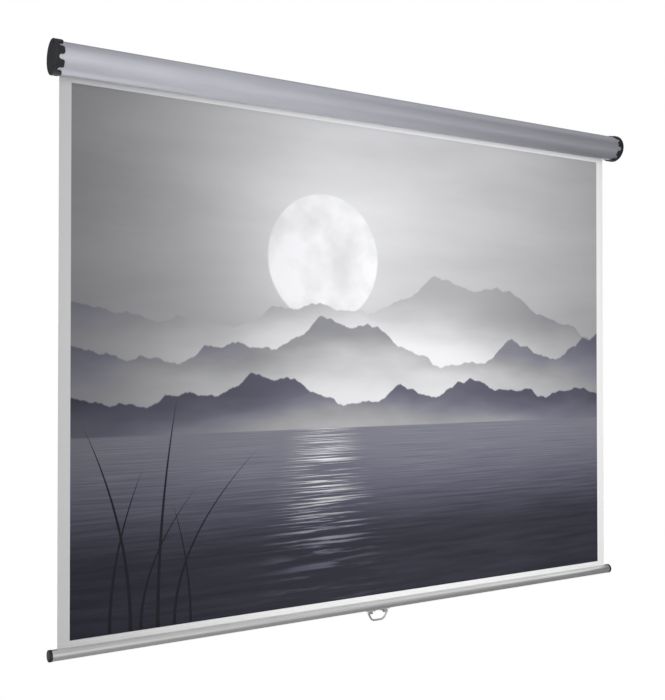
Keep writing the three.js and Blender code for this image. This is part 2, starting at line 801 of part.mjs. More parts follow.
// Plug in the end of the bar: a domed disc with a hollow spigot
function barCap(side) {
  const spigot = barRadius - barWall - seatGap;
  const dome = 1 / 3;
  const profile = [
    [0, barCapDisc],
    [barCapRadius * (1 - dome), barCapDisc * (1 - dome / 4)],
    [barCapRadius * (1 - dome / 4), barCapDisc * (1 - dome)],
    [barCapRadius, barCapDisc * dome],
    [barCapRadius, seatGap],
    [spigot, seatGap],
    [spigot, -barCapSpigot],
    [spigot - barCapWall, -barCapSpigot],
    [spigot - barCapWall, 0],
    [0, 0],
  ];
  return turned(profile, [side * barHalf, ...barPlace], [side, 0, 0], roundSides / 2);
}

// Saddle plate under the bar: it hugs the tube and ends in two knuckles for the handle
const pivotZ = barZ - pivotDrop;
const legSlope = (handleTopWidth - handleBottomWidth) / 2 / handleDrop;
const legInnerX = handleTopWidth / 2 - handleWireRadius * Math.hypot(1, legSlope);
const knuckleEndX = legInnerX - legSlope * knuckleRadius - runningGap;

function saddleScrewHoles() {
  return [-1, 1].map((side) => {
    const place = [(side * saddleScrewSpacing) / 2, fabricY, barZ - barRadius - saddleThickness - overrun];
    const length = saddleThickness + barWall + 2 * overrun;
    return rodAlong(saddleScrewRadius + seatGap, length, place, [0, 0, 1]);
  });
}

function handleSaddle() {
  const inner = barRadius + seatGap;
  const from = -90 - saddleHalfDegrees;
  const to = -90 + saddleHalfDegrees;
  const steps = smallSides / 2;
  const plate = extrudeX(
    polygon([
      ...arc(inner + saddleThickness, from, to, steps, barPlace),
      ...arc(inner, to, from, steps, barPlace),
    ]),
    -saddleLength / 2, saddleLength / 2,
  );
  const knuckles = [-1, 1].map((side) => {
    const outer = side * knuckleEndX;
    const barrel = rodX(knuckleRadius, outer - side * knuckleLength, outer, [fabricY, pivotZ]);
    const bore = rodX(
      handleWireRadius + seatGap, outer - side * (knuckleLength + overrun), outer + side * overrun,
      [fabricY, pivotZ],
    );
    return { barrel, bore };
  });
  const barClearance = rodX(
    inner, -saddleLength / 2 - overrun, saddleLength / 2 + overrun, barPlace, roundSides,
  );
  return cut(
    join(plate, ...knuckles.map((one) => one.barrel)),
    barClearance, ...knuckles.map((one) => one.bore), ...saddleScrewHoles(),
  );
}

function saddleScrew(side) {
  const headTop = barZ - barRadius - saddleThickness - 2 * seatGap;
  const profile = [
    [0, 0],
    [saddleScrewHeadRadius, 0],
    [saddleScrewHeadRadius, saddleScrewHeadHeight],
    [saddleScrewRadius, saddleScrewHeadHeight],
    [saddleScrewRadius, saddleScrewHeadHeight + saddleScrewLength],
    [0, saddleScrewHeadHeight + saddleScrewLength],
  ];
  const place = [(side * saddleScrewSpacing) / 2, fabricY, headTop - saddleScrewHeadHeight];
  return turned(profile, place, [0, 0, 1]);
}

// Handle: one wire, bent to a D with straight sides that draw in, its ends turned into the knuckles
function handlePath() {
  const top = handleTopWidth / 2;
  const bottom = handleBottomWidth / 2;
  const spots = [
    [-top + handleEndInset, 0],
    [-top, 0],
    [-bottom, -handleDrop],
    [bottom, -handleDrop],
    [top, 0],
    [top - handleEndInset, 0],
  ].map(([x, z]) => new THREE.Vector3(x, fabricY, pivotZ + z));
  const reaches = [0, handleWireRadius + seatGap, handleCorner, handleCorner, handleWireRadius + seatGap, 0];
  const path = new THREE.CurvePath();
  let last = spots[0];
  for (let i = 1; i < spots.length - 1; i += 1) {
    const before = spots[i].clone().sub(spots[i - 1]).setLength(reaches[i]);
    const after = spots[i + 1].clone().sub(spots[i]).setLength(reaches[i]);
    const enter = spots[i].clone().sub(before);
    const leave = spots[i].clone().add(after);
    path.add(new THREE.LineCurve3(last, enter));
    path.add(new THREE.QuadraticBezierCurve3(enter, spots[i], leave));
    last = leave;
  }
  path.add(new THREE.LineCurve3(last, spots[spots.length - 1]));
  return path;
}

function pullHandle() {
  const wire = circle(handleWireRadius, [0, 0], 8);
  const options = { steps: 52, extrudePath: handlePath(), bevelEnabled: false };
  return toSolid(new THREE.ExtrudeGeometry(wire, options));
}

addPart('casing', casing(), 'anodised');
for (const [side, hand] of [[-1, 'left'], [1, 'right']]) {
  addPart(`end_cap_${hand}`, endCap(side), 'blackPlastic');
  screwPortAngles.forEach((angle, index) => {
    addPart(`cap_screw_${hand}_${index + 1}`, capScrew(side, angle), 'blackSteel');
  });
  addPart(`wall_bracket_${hand}`, wallBracket(side), 'zincSteel');
  addPart(`bracket_lock_screw_${hand}`, lockScrew(side), 'zincSteel');
}
addPart('spring_shaft', springShaft(), 'zincSteel');
addPart('ratchet_wheel', ratchetWheel(), 'zincSteel');
addPart('spring_collar', springCollar(), 'nylon');
addPart('collar_pin', collarPin(), 'springSteel');
addPart('torsion_spring', torsionSpring(), 'springSteel');
addPart('idle_pin', idlePin(), 'zincSteel');
addPart('screen_fabric', screenFabric(), 'fabric');

addPart('roller_tube', rollerTube(), 'anodised');
addPart('roller_plug_left', rollerPlug(-1), 'nylon');
addPart('roller_plug_right', rollerPlug(1), 'nylon');
addPart('idler_bush', idlerBush(), 'brass');
addPart('spring_driver', springDriver(), 'nylon');
addPart('fabric_lock_strip', fabricLockStrip(), 'nylon');
addPart('fabric_roll', fabricRoll(), 'fabric');
for (const index of [0, 1]) {
  addPart(`driver_screw_${index + 1}`, driverScrewShape(index, 0, 0), 'zincSteel');
  addPart(`pawl_pin_${index + 1}`, pawlPin(index), 'zincSteel');
  addPart(`pawl_${index + 1}`, pawl(index), 'zincSteel');
}

addPart('weight_bar', weightBar(), 'barAluminium');
addPart('bar_cap_left', barCap(-1), 'greyPlastic');
addPart('bar_cap_right', barCap(1), 'greyPlastic');
addPart('hem_rod', hemRod(), 'nylon');
addPart('fabric_hem', fabricHem(), 'fabric');
addPart('handle_saddle', handleSaddle(), 'zincSteel');
addPart('saddle_screw_left', saddleScrew(-1), 'zincSteel');
addPart('saddle_screw_right', saddleScrew(1), 'zincSteel');
addPart('pull_handle', pullHandle(), 'wire');

export default screen;
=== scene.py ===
"""Looks of a pull-down wall projection screen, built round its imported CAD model.

Metres, in the CAD model's frame: x runs along the casing to the right, y into the wall, z up. The
section plane is (y, z). Every piece takes its place from the CAD node that it stands for.
"""

import json
import math

import bmesh
import bpy
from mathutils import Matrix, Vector
from mathutils.geometry import delaunay_2d_cdt, tessellate_polygon

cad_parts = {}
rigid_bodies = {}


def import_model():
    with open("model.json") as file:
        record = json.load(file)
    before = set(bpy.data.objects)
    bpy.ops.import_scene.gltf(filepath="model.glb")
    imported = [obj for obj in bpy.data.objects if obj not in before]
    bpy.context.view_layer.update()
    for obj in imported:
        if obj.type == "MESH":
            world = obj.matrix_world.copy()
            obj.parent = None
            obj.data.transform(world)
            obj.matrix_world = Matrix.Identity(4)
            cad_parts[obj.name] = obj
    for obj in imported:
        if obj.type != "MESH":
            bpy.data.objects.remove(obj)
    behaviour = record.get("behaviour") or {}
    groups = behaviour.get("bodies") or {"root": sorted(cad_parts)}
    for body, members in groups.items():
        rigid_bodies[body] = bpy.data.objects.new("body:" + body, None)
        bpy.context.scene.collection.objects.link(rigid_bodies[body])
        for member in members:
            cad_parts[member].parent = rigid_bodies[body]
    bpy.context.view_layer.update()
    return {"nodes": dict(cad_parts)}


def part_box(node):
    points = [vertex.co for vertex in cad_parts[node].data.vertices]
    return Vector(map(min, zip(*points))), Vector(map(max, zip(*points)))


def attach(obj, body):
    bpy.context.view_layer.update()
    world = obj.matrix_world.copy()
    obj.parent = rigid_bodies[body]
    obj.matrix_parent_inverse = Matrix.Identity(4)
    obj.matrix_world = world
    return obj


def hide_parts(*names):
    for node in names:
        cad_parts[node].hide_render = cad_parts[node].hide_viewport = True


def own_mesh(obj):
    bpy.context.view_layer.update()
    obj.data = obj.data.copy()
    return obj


for start_up_object in list(bpy.data.objects):
    bpy.data.objects.remove(start_up_object)

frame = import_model()

# Casing section
CASING_WALL = 0.0018
SLOT_HALF = 0.0055
LIP_HEIGHT = 0.004
LIP_THICKNESS = 0.0012
PORT_RADIUS = 0.0024
PORT_BORE = 0.0016
PORT_WELD = 0.0004
PORT_ANGLES = (115, 235)
RAIL_INSET = 0.02
RAIL_TOP = 0.016
RAIL_THICKNESS = 0.002
RAIL_DEPTH = 0.012
RAIL_SLOT = 0.0075
RIB_DROP = 0.014
CASING_STEPS = 150
BORE_STEP_DEGREES = 3
PORT_STEPS = 16
PORT_SIDES = 24

# End caps
CAP_DISC = 0.003
CAP_RIM = 0.0025
CAP_SLEEVE = 0.0032
CAP_TONGUES = 8
CAP_TONGUE_PHASE = 33.5
CAP_GAP_RADIUS = 0.0057
CAP_GAP_ROOT = CAP_DISC + CAP_RIM + CAP_GAP_RADIUS
CAP_TONGUE_CORNER = 0.0042
CAP_EDGE = 0.0008
CAP_EDGE_STEPS = 5
CAP_CORNER_STEPS = 9
CAP_COLUMNS = 240
CAP_ROWS = 10
CAP_ROW_GAP = 0.0006
CAP_COLUMN_GAP = 0.0005
CAP_DISH_RADIUS = 0.0245
CAP_DISH_DEPTH = 0.0004
CAP_BOSS_RADIUS = 0.009
CAP_BOSS_END = 0.011
CAP_SCREW_HOLE = 0.0016

# Screws
CROSS_WIDTH = 0.0009
CROSS_DEPTH = 0.0011
CROSS_FLOOR_SHARE = 0.55
CAP_SCREW_HEAD = 0.0018
CAP_SCREW_SHANK = 0.0013
CAP_CROSS_SHARE = 0.62
PAN_SHARES = ((0, 0), (0.5, 1 / 6), (0.85, 0.5), (1, 1))
PAN_CROSS_SHARE = 0.55
SADDLE_SCREW_HEAD = 0.0015
SADDLE_SCREW_SHANK = 0.0014
SADDLE_SCREW_HOLE = 0.0017
SCREW_SIDES = 48
SEAT_SIDES = 40

# Weight bar, hem and handle
BAR_WALL = 0.0014
BAR_SLOT = 0.0026
BAR_STEPS = 140
BAR_BORE_STEPS = 110
BAR_HOLE_DEPTH = 0.004
BAR_CAP_WALL = 0.002
BAR_CAP_COLLAR = 0.0045
BAR_CAP_EDGE = 0.0006
BAR_CAP_CHAMFER = 0.0004
BAR_CAP_SIDES = 72
DOME_STEPS = 10
DOME_POWER = 0.62
HEM_FOLD = 0.0006
HEM_STEPS = 40
SADDLE_THICKNESS = 0.0015
SADDLE_HALF_ANGLE = 34
SADDLE_CORNER = 0.004
SADDLE_MARGIN = 0.0001
SADDLE_STEPS = 33
KNUCKLE_RADIUS = 0.0041
KNUCKLE_LENGTH = 0.0065
KNUCKLE_GAP = 0.0004
KNUCKLE_SIDES = 56
KNUCKLE_BORE_SIDES = 48
HANDLE_BOTTOM_WIDTH = 0.034
HANDLE_TOP_WIDTH = 0.056
HANDLE_CORNER = 0.009
HANDLE_CORNER_STEPS = 14
HANDLE_END_INSET = 0.0085

# Brackets
LOCK_SCREW_HOLE = 0.002
LOCK_SCREW_HEAD = 0.0024
HOOK_CLEARANCE = 0.0006
BRACKET_TAB_GAP = 0.004
BRACKET_PLATE = 0.0025
BRACKET_TONGUE = 0.0024
BRACKET_CORNER = 0.004
BRACKET_TAB = 0.01
BRACKET_HOLE = 0.003
BRACKET_HOLE_UP = 0.02
BRACKET_HOLE_DOWN = 0.01
BRACKET_HOLE_SIDES = 40

# Cloth and the picture on it
CLOTH_COLUMNS = 96
CLOTH_ROWS = 84
CLOTH_WAVE = 0.0012
SWAY_SHARE = 0.45
SWAY_ACROSS = 2.1
SWAY_START = 0.6
SWAY_DOWN = 1.3
CURL_SHARE = 0.35
CURL_POWER = 6
CURL_DOWN = 2.0
CURL_START = 0.15
RIPPLE_SHARE = 0.2
RIPPLE_ACROSS = 7.0
RIPPLE_START = 1.0
ROLL_TURNS = 2
ROLL_SIDES = 96
ROLL_FILL_SHARE = 0.92
PICTURE_SIDE = 0.025
PICTURE_TOP = 0.039
PICTURE_HEIGHT = 1.125

# Grains and reliefs of the surfaces
MOULD_GRAIN = 0.0006
NYLON_GRAIN = 0.0012
WEAVE_PITCH = 0.0005
SPANGLE = 0.004
BRASS_SPANGLE = 0.006
WIRE_SPANGLE = 0.003
SPRING_SPANGLE = 0.002
DIE_LINE_RELIEF = 0.00004
MOULD_RELIEF = 0.00005
PLATING_RELIEF = 0.00004
COATING_RELIEF = 0.00004
WEAVE_RELIEF = 0.00003
NOISE_RANGE = (0.3, 0.7)

# Clearances and finishing values
GAP = 0.0003
OVERRUN = 0.002
EDGE = 0.00025
EDGE_SEGMENTS = 2
FINE_EDGE = 0.0001
WELD_DISTANCE = 1e-7
TINY = 1e-6
SMOOTH_ANGLE = 32
HOLE_SIDES = 32
WIRE_SIDES = 24
CORNER_STEPS = 8
EDGE_STEPS = 5
FINE_STEPS = 3

casing_low, casing_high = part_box("casing")
CASING_RADIUS = casing_high.z
CASING_BORE = CASING_RADIUS - CASING_WALL
AXIS_Y = casing_low.y + CASING_RADIUS
CASING_HALF = casing_high.x

cloth_low, cloth_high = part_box("screen_fabric")
CLOTH_Y = (cloth_low.y + cloth_high.y) / 2

bar_low, bar_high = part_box("weight_bar")
BAR_RADIUS = (bar_high.y - bar_low.y) / 2
BAR_CENTRE = (CLOTH_Y, bar_low.z + BAR_RADIUS)

handle_low, handle_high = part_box("pull_handle")
WIRE_RADIUS = (handle_high.y - handle_low.y) / 2
SADDLE_INNER = BAR_RADIUS + GAP
SADDLE_OUTER = SADDLE_INNER + SADDLE_THICKNESS
PIVOT_Z = BAR_CENTRE[1] - SADDLE_OUTER - KNUCKLE_RADIUS + SADDLE_THICKNESS / 2


# Meshes


def in_scene(name, data):
    """A new object in the scene."""
    thing = bpy.data.objects.new(name, data)
    bpy.context.scene.collection.objects.link(thing)
    return thing


def piece_from(name, points, faces):
    """A mesh object from points and faces, welded and with its faces pointing out."""
    mesh = bpy.data.meshes.new(name)
    mesh.from_pydata(points, [], faces)
    piece = in_scene(name, mesh)
    clean(piece)
    return piece


def clean(piece):
    shape = bmesh.new()
    shape.from_mesh(piece.data)
    bmesh.ops.remove_doubles(shape, verts=shape.verts, dist=WELD_DISTANCE)
    bmesh.ops.recalc_face_normals(shape, faces=shape.faces)
    shape.to_mesh(piece.data)
    shape.free()


def evaluated_mesh(piece):
    evaluated = piece.evaluated_get(bpy.context.evaluated_depsgraph_get())
    return bpy.data.meshes.new_from_object(evaluated)


def apply_modifiers(piece):
    mesh = evaluated_mesh(piece)
    piece.modifiers.clear()
    piece.data = mesh


def combine(piece, operation, *tools):
    """Joins, cuts or intersects a piece with tools, which are then removed."""
    for tool in tools:
        modifier = piece.modifiers.new("combine", "BOOLEAN")
        modifier.operation = operation
        modifier.object = tool
        modifier.solver = "EXACT"
        apply_modifiers(piece)
        bpy.data.objects.remove(tool)


def soften(piece):
    """Rounds the sharp edges a little, as on a real pressed part."""
    modifier = piece.modifiers.new("edges", "BEVEL")
    modifier.width = EDGE
    modifier.segments = EDGE_SEGMENTS
    modifier.limit_method = "ANGLE"
    modifier.angle_limit = math.radians(SMOOTH_ANGLE)
    modifier.miter_outer = "MITER_ARC"
    apply_modifiers(piece)


def shade(piece):
    piece.data.shade_smooth()
    piece.data.set_sharp_from_angle(angle=math.radians(SMOOTH_ANGLE))


# Outlines in the section plane


def polar(radius, degrees, centre=(0, 0)):
    turn = math.radians(degrees)
    return centre[0] + radius * math.cos(turn), centre[1] + radius * math.sin(turn)


def arc(radius, start, end, steps, centre=(0, 0)):
    return [polar(radius, start + (end - start) * i / steps, centre) for i in range(steps + 1)]


def circle(radius, centre, sides):
    return arc(radius, 0, 360, sides, centre)[:-1]


def angle_of(point, centre=(0, 0)):
    return math.degrees(math.atan2(point[1] - centre[1], point[0] - centre[0]))


def rounded(corners, steps=EDGE_STEPS):
    """An outline from corners (a, b, radius), each turned into an arc of its radius."""
    outline = []
    for i, (a, b, radius) in enumerate(corners):
        here = Vector((a, b))
        if not radius:
            outline.append((a, b))
            continue
        before = (Vector(corners[i - 1][:2]) - here).normalized()
        after = (Vector(corners[(i + 1) % len(corners)][:2]) - here).normalized()
        half = before.angle(after) / 2
        centre = here + (before + after).normalized() * radius / math.sin(half)
        reach = radius / math.tan(half)
        start = angle_of(here + before * reach, centre)
        end = angle_of(here + after * reach, centre)
        sweep = (end - start + 180) % 360 - 180
        outline += arc(radius, start, start + sweep, steps, centre)
    return outline


def rounded_blank(low_a, high_a, low_b, high_b, radius):
    """A rectangle with round corners."""
    corners = [(low_a, low_b), (high_a, low_b), (high_a, high_b), (low_a, high_b)]
    return rounded([(a, b, radius) for a, b in corners], CORNER_STEPS)


def low_point(radius, across):
    """The point on a circle's lower side at a distance across from its middle."""
    return across, -math.sqrt(radius**2 - across**2)


def prism(name, outline, low, high, holes=(), axis="x"):
    """A solid whose section is an outline with holes, extruded along an axis."""
    loops = [outline, *holes]
    flat = [point for loop in loops for point in loop]

    def placed(a, b, along):
        return {"x": (along, a, b), "y": (a, along, b), "z": (a, b, along)}[axis]

    points = [placed(a, b, low) for a, b in flat] + [placed(a, b, high) for a, b in flat]
    count = len(flat)
    faces = []
    start = 0
    for loop in loops:
        size = len(loop)
        for i in range(size):
            here = start + i
            following = start + (i + 1) % size
            faces.append((here, following, following + count, here + count))
        start += size
    for corner in tessellate_polygon([[Vector((a, b, 0)) for a, b in loop] for loop in loops]):
        faces.append(tuple(corner))
        faces.append(tuple(i + count for i in corner))
    return piece_from(name, points, faces)


def drill(piece, radius, centre, low, high, axis="z", sides=HOLE_SIDES):
    """Cuts a round hole through a piece along an axis."""
    combine(piece, "DIFFERENCE", prism("hole", circle(radius, centre, sides), low, high, axis=axis))


def lathe(name, profile, place, direction, sides):
    """A turned solid from (radius, height) points along a direction from a place."""
    along = Vector(direction).normalized()
    across = along.orthogonal().normalized()
    aside = along.cross(across)
    points = []
    rings = []
    for radius, height in profile:
        centre = Vector(place) + along * height
        if radius == 0:
            rings.append([len(points)] * sides)
            points.append(centre)
            continue
        rings.append(list(range(len(points), len(points) + sides)))
        for i in range(sides):
            turn = 2 * math.pi * i / sides
            points.append(centre + (across * math.cos(turn) + aside * math.sin(turn)) * radius)
    faces = []
    for lower, upper in zip(rings, rings[1:]):
        for i in range(sides):
            j = (i + 1) % sides
            corners = dict.fromkeys((lower[i], lower[j], upper[j], upper[i]))
            if len(corners) > 2:
                faces.append(tuple(corners))
    return piece_from(name, points, faces)


def wire_tube(name, points, radius):
    """A round wire along points, with flat ends."""
    curve = bpy.data.curves.new(name, "CURVE")
    curve.dimensions = "3D"
    curve.bevel_depth = radius
    curve.bevel_resolution = WIRE_SIDES // 4 - 1
    curve.use_fill_caps = True
    spline = curve.splines.new("POLY")
    spline.points.add(len(points) - 1)
    for spot, point in zip(spline.points, points):
        spot.co = (*point, 1)
    route = in_scene(name, curve)
    mesh = evaluated_mesh(route)
    bpy.data.objects.remove(route)
    wire = in_scene(name, mesh)
    clean(wire)
    return wire


# Node materials


class Look:
    """A material under construction: small calls that add nodes and link them."""

    def __init__(self, name, **sockets):
        self.material = bpy.data.materials.new(name)
        self.material.use_nodes = True
        self.tree = self.material.node_tree
        self.shader = self.tree.nodes["Principled BSDF"]
        self.place = self.add("ShaderNodeTexCoord").outputs["Object"]
        for label, value in sockets.items():
            self.shader.inputs[label.replace("_", " ")].default_value = value

    def add(self, kind, inputs=(), **settings):
        node = self.tree.nodes.new(kind)
        for label, value in settings.items():
            setattr(node, label, value)
        for key, value in dict(inputs).items():
            self.feed(node.inputs[key], value)
        return node

    def feed(self, socket, value):
        if isinstance(value, bpy.types.NodeSocket):
            self.tree.links.new(value, socket)
        else:
            socket.default_value = value

    def math(self, operation, *values, clamp=False):
        node = self.add("ShaderNodeMath", operation=operation, use_clamp=clamp)
        for socket, value in zip(node.inputs, values):
            self.feed(socket, value)
        return node.outputs[0]

    def plus(self, first, second):
        return self.math("ADD", first, second)

    def minus(self, first, second):
        return self.math("SUBTRACT", first, second)

    def times(self, first, second):
        return self.math("MULTIPLY", first, second)

    def over(self, first, second):
        return self.math("DIVIDE", first, second)

    def apart(self, first, second):
        """How far apart two numbers are."""
        return self.math("ABSOLUTE", self.minus(first, second))

    def scaled(self, scale, place=None):
        """The place stretched by a factor along each axis."""
        inputs = {0: place or self.place, 1: scale}
        return self.add("ShaderNodeVectorMath", inputs, operation="MULTIPLY").outputs[0]

    def noise(self, scale, detail, roughness=0.5, place=None):
        """Noise from 0 to 1 whose grain has a size of 1 over scale along each axis."""
        inputs = {"Vector": self.scaled(scale, place), "Scale": 1.0, "Detail": detail}
        return self.add("ShaderNodeTexNoise", {**inputs, "Roughness": roughness}).outputs["Fac"]

    def ramp(self, value, low, high, to_low, to_high, smooth=False):
        """Maps a value's range from low to high onto another range."""
        limits = {"From Min": low, "From Max": high, "To Min": to_low, "To Max": to_high}
        kind = "SMOOTHSTEP" if smooth else "LINEAR"
        node = self.add("ShaderNodeMapRange", {"Value": value, **limits}, interpolation_type=kind)
        return node.outputs["Result"]

    def spread(self, noise, to_low, to_high):
        """Maps the range that noise mostly keeps to onto another range."""
        return self.ramp(noise, *NOISE_RANGE, to_low, to_high)

    def blend(self, share, first, second):
        """Mixes two numbers."""
        return self.add("ShaderNodeMix", {0: share, 2: first, 3: second}).outputs[0]

    def tint(self, share, first, second):
        """Mixes two colours."""
        return self.add("ShaderNodeMix", {0: share, 6: first, 7: second}, data_type="RGBA").outputs[2]

    def bump(self, height, distance, strength):
        inputs = {"Height": height, "Distance": distance, "Strength": strength}
        self.set("Normal", self.add("ShaderNodeBump", inputs).outputs[0])

    def set(self, label, value):
        self.feed(self.shader.inputs[label], value)


def grey(value):
    return value, value, value, 1


def extruded_metal(name, dark, light, roughness, line_scale, metallic=1.0):
    """Aluminium with the fine die lines that run along an extrusion."""
    look = Look(name, Metallic=metallic)
    lines = look.noise((1.5, line_scale, line_scale), detail=3.0)
    cloud = look.noise((9.0, 60.0, 60.0), detail=4.0)
    grain = look.noise((4000.0,) * 3, detail=1.0)
    mixed = look.blend(0.4, cloud, lines)
    look.set("Base Color", look.tint(look.ramp(mixed, 0.35, 0.65, 0, 1), dark, light))
    look.set("Roughness", look.spread(mixed, roughness + 0.04, roughness - 0.04))
    look.bump(look.blend(0.25, lines, grain), DIE_LINE_RELIEF, 0.35)
    return look.material


def moulded_plastic(name, dark, light, roughness, grain_size=MOULD_GRAIN):
    """Moulded plastic with an eroded grain and slight wear in its shine."""
    look = Look(name)
    grain = look.noise((1 / grain_size,) * 3, detail=2.0, roughness=0.6)
    cloud = look.noise((70.0,) * 3, detail=4.0)
    look.set("Base Color", look.tint(look.spread(cloud, 0, 1), dark, light))
    look.set("Roughness", look.spread(grain, roughness + 0.06, roughness - 0.05))
    look.bump(grain, MOULD_RELIEF, 0.4)
    return look.material


def plated_steel(name, dark, light, roughness, spangle=SPANGLE):
    """Plated or bare steel with faint crystal patches and handling marks."""
    look = Look(name, Metallic=1.0)
    inputs = {"Vector": look.scaled((1 / spangle,) * 3), "Scale": 1.0}
    cells = look.add("ShaderNodeTexVoronoi", inputs, feature="SMOOTH_F1")
    marks = look.noise((260.0, 260.0, 40.0), detail=5.0)
    share = look.blend(0.5, cells.outputs["Distance"], marks)
    look.set("Base Color", look.tint(look.ramp(share, 0.25, 0.7, 0, 1), dark, light))
    look.set("Roughness", look.spread(marks, roughness - 0.05, roughness + 0.08))
    look.bump(marks, PLATING_RELIEF, 0.25)
    return look.material


def weave(look):
    """Height of a plain weave seen through its coating."""
    turns = look.scaled((2 * math.pi / WEAVE_PITCH,) * 3)
    parts = look.add("ShaderNodeSeparateXYZ", {"Vector": turns}).outputs
    return look.times(look.math("SINE", parts[0]), look.math("SINE", parts[2]))


def cloth_back():
    """The light-tight dark coating on the cloth's back."""
    look = Look("cloth_back", Specular_IOR_Level=0.35)
    cloud = look.noise((14.0,) * 3, detail=5.0)
    shades = look.tint(cloud, (0.012, 0.012, 0.013, 1), (0.022, 0.022, 0.024, 1))
    look.set("Base Color", shades)
    look.set("Roughness", look.spread(cloud, 0.62, 0.72))
    look.bump(weave(look), COATING_RELIEF, 0.5)
    return look.material


def matt_coating(look, cloud, shades):
    """Finishes a white side of the cloth: its shades, its dull sheen and its weave."""
    look.set("Base Color", shades)
    look.set("Roughness", look.spread(cloud, 0.86, 0.92))
    look.bump(weave(look), WEAVE_RELIEF, 0.4)
    return look.material


def cloth_white():
    """The matt white coating of the cloth's front."""
    look = Look("cloth_white", Specular_IOR_Level=0.25)
    cloud = look.noise((6.0,) * 3, detail=5.0)
    return matt_coating(look, cloud, look.tint(cloud, grey(0.86), (0.9, 0.9, 0.905, 1)))


# Picture on the cloth: a pale moon over misty ridges and a dark lake. Its own frame runs from 0 to 1
# across and, in the same unit, upwards from its foot. Its tones run from 0, black, to 1, white.

PICTURE_RATIO_SHARE = 0.75
HORIZON_SHARE = 0.27
GLOW_SHARES = (0.52, 0.74)
GLOW_REACH_SHARES = (0.04, 0.62)
SKY_TONES = (0.53, 0.27)
SKY_SIDE_TONES = (0.02, 0.08)
CLOUD_RANGE = (0.3, 0.75)
CLOUD_FACTORS = (0.9, 1.14)
MOON_SHARES = (0.40, 0.535, 0.1)
MOON_RANGE = (0.38, 0.66)
MOON_TONES = (0.9, 0.7)
MOON_SOFTNESS_SHARE = 0.004
HALO_TONE = 0.34
HALO_FALL = -10.0
RIDGE_SHARES = (
    # height, swing, waves across, shade, mist
    (0.455, 0.105, 2.3, 0.40, 0.80),
    (0.395, 0.085, 3.6, 0.25, 0.72),
    (0.325, 0.055, 5.2, 0.10, 0.46),
)
RIDGE_RANGE = (0.25, 0.75)
RIDGE_SOFTNESS_SHARE = 0.003
RIDGE_DIM_SHARES = (0.1, 0.54)
RIDGE_DIM = 0.62
MIST_DEPTH_SHARE = 0.12
MIST_DRIFT_SHARE = 0.03
WATER_TONES = (0.18, 0.027)
WATER_EDGE_SHARE = 0.002
RIPPLE_ROWS = 7.0
RIPPLE_COLUMNS = 6.0
RIPPLE_FAR_SHARE = 0.05
RIPPLE_FACTORS = (0.7, 1.35)
CALM_SHARE = 0.7
GLINT_WIDTH_SHARES = (0.075, 0.15)
GLINT_TONES = (0.75, 0.03)
GLINT_RANGE = (0.50, 0.62)
GLINT_REACH_SHARE = 0.9
REED_SHARES = (
    # foot, lean, height, thickness
    (0.055, 0.05, 0.23, 0.0030),
    (0.085, -0.07, 0.29, 0.0034),
    (0.100, 0.09, 0.20, 0.0028),
    (0.125, 0.03, 0.33, 0.0034),
    (0.150, 0.14, 0.25, 0.0030),
    (0.175, -0.03, 0.18, 0.0026),
)
REED_SOFTNESS_SHARE = 0.0012
REED_TONE = 0.012
COOL_TONES = (0.03, 0.3)
COOL_FACTORS = (1.5, 1.03)
BORDER_WHITE = (0.88, 0.88, 0.885, 1)


def picture_frame(look):
    """The picture's own coordinates, from the place on the cloth."""
    width = cloth_high.x - cloth_low.x - 2 * PICTURE_SIDE
    parts = look.add("ShaderNodeSeparateXYZ", {"Vector": look.place}).outputs
    across = look.over(look.plus(parts[0], width / 2), width)
    up = look.over(look.plus(parts[2], PICTURE_TOP + PICTURE_HEIGHT), width)
    flat = look.add("ShaderNodeCombineXYZ", {0: across, 1: up}).outputs[0]
    return across, up, flat


def below(look, value, limit, softness):
    """1 where a value lies below a limit, fading to 0 over a softness."""
    left = look.minus(limit, value)
    return look.ramp(left, -softness / 2, softness / 2, 0.0, 1.0, smooth=True)


def within(look, value, limit):
    """1 where a value lies between 0 and a limit, else 0."""
    above = look.math("GREATER_THAN", value, 0.0)
    return look.times(above, look.math("LESS_THAN", value, limit))


def distance_from(look, across, up, middle_u, middle_v):
    aside = look.math("POWER", look.minus(across, middle_u), 2.0)
    above = look.math("POWER", look.minus(up, middle_v), 2.0)
    return look.math("SQRT", look.plus(aside, above))


def sky(look, across, up, flat):
    """A glow at the top that fades to the sides, with thin drawn-out clouds."""
    away = distance_from(look, across, up, *GLOW_SHARES)
    light = look.ramp(away, *GLOW_REACH_SHARES, *SKY_TONES, smooth=True)
    light = look.plus(light, look.ramp(across, 0.0, 1.0, *SKY_SIDE_TONES))
    streaks = look.noise((2.2, 9.0, 1.0), detail=6.0, roughness=0.55, place=flat)
    return look.times(light, look.ramp(streaks, *CLOUD_RANGE, *CLOUD_FACTORS))


def with_moon(look, light, across, up, flat):
    middle_u, middle_v, radius = MOON_SHARES
    distance = distance_from(look, across, up, middle_u, middle_v)
    halo = look.math("EXPONENT", look.times(distance, HALO_FALL))
    lit = look.plus(light, look.times(halo, HALO_TONE))
    seas = look.noise((13.0, 13.0, 1.0), detail=5.0, place=flat)
    face = look.ramp(seas, *MOON_RANGE, *MOON_TONES)
    return look.blend(below(look, distance, radius, MOON_SOFTNESS_SHARE), lit, face)


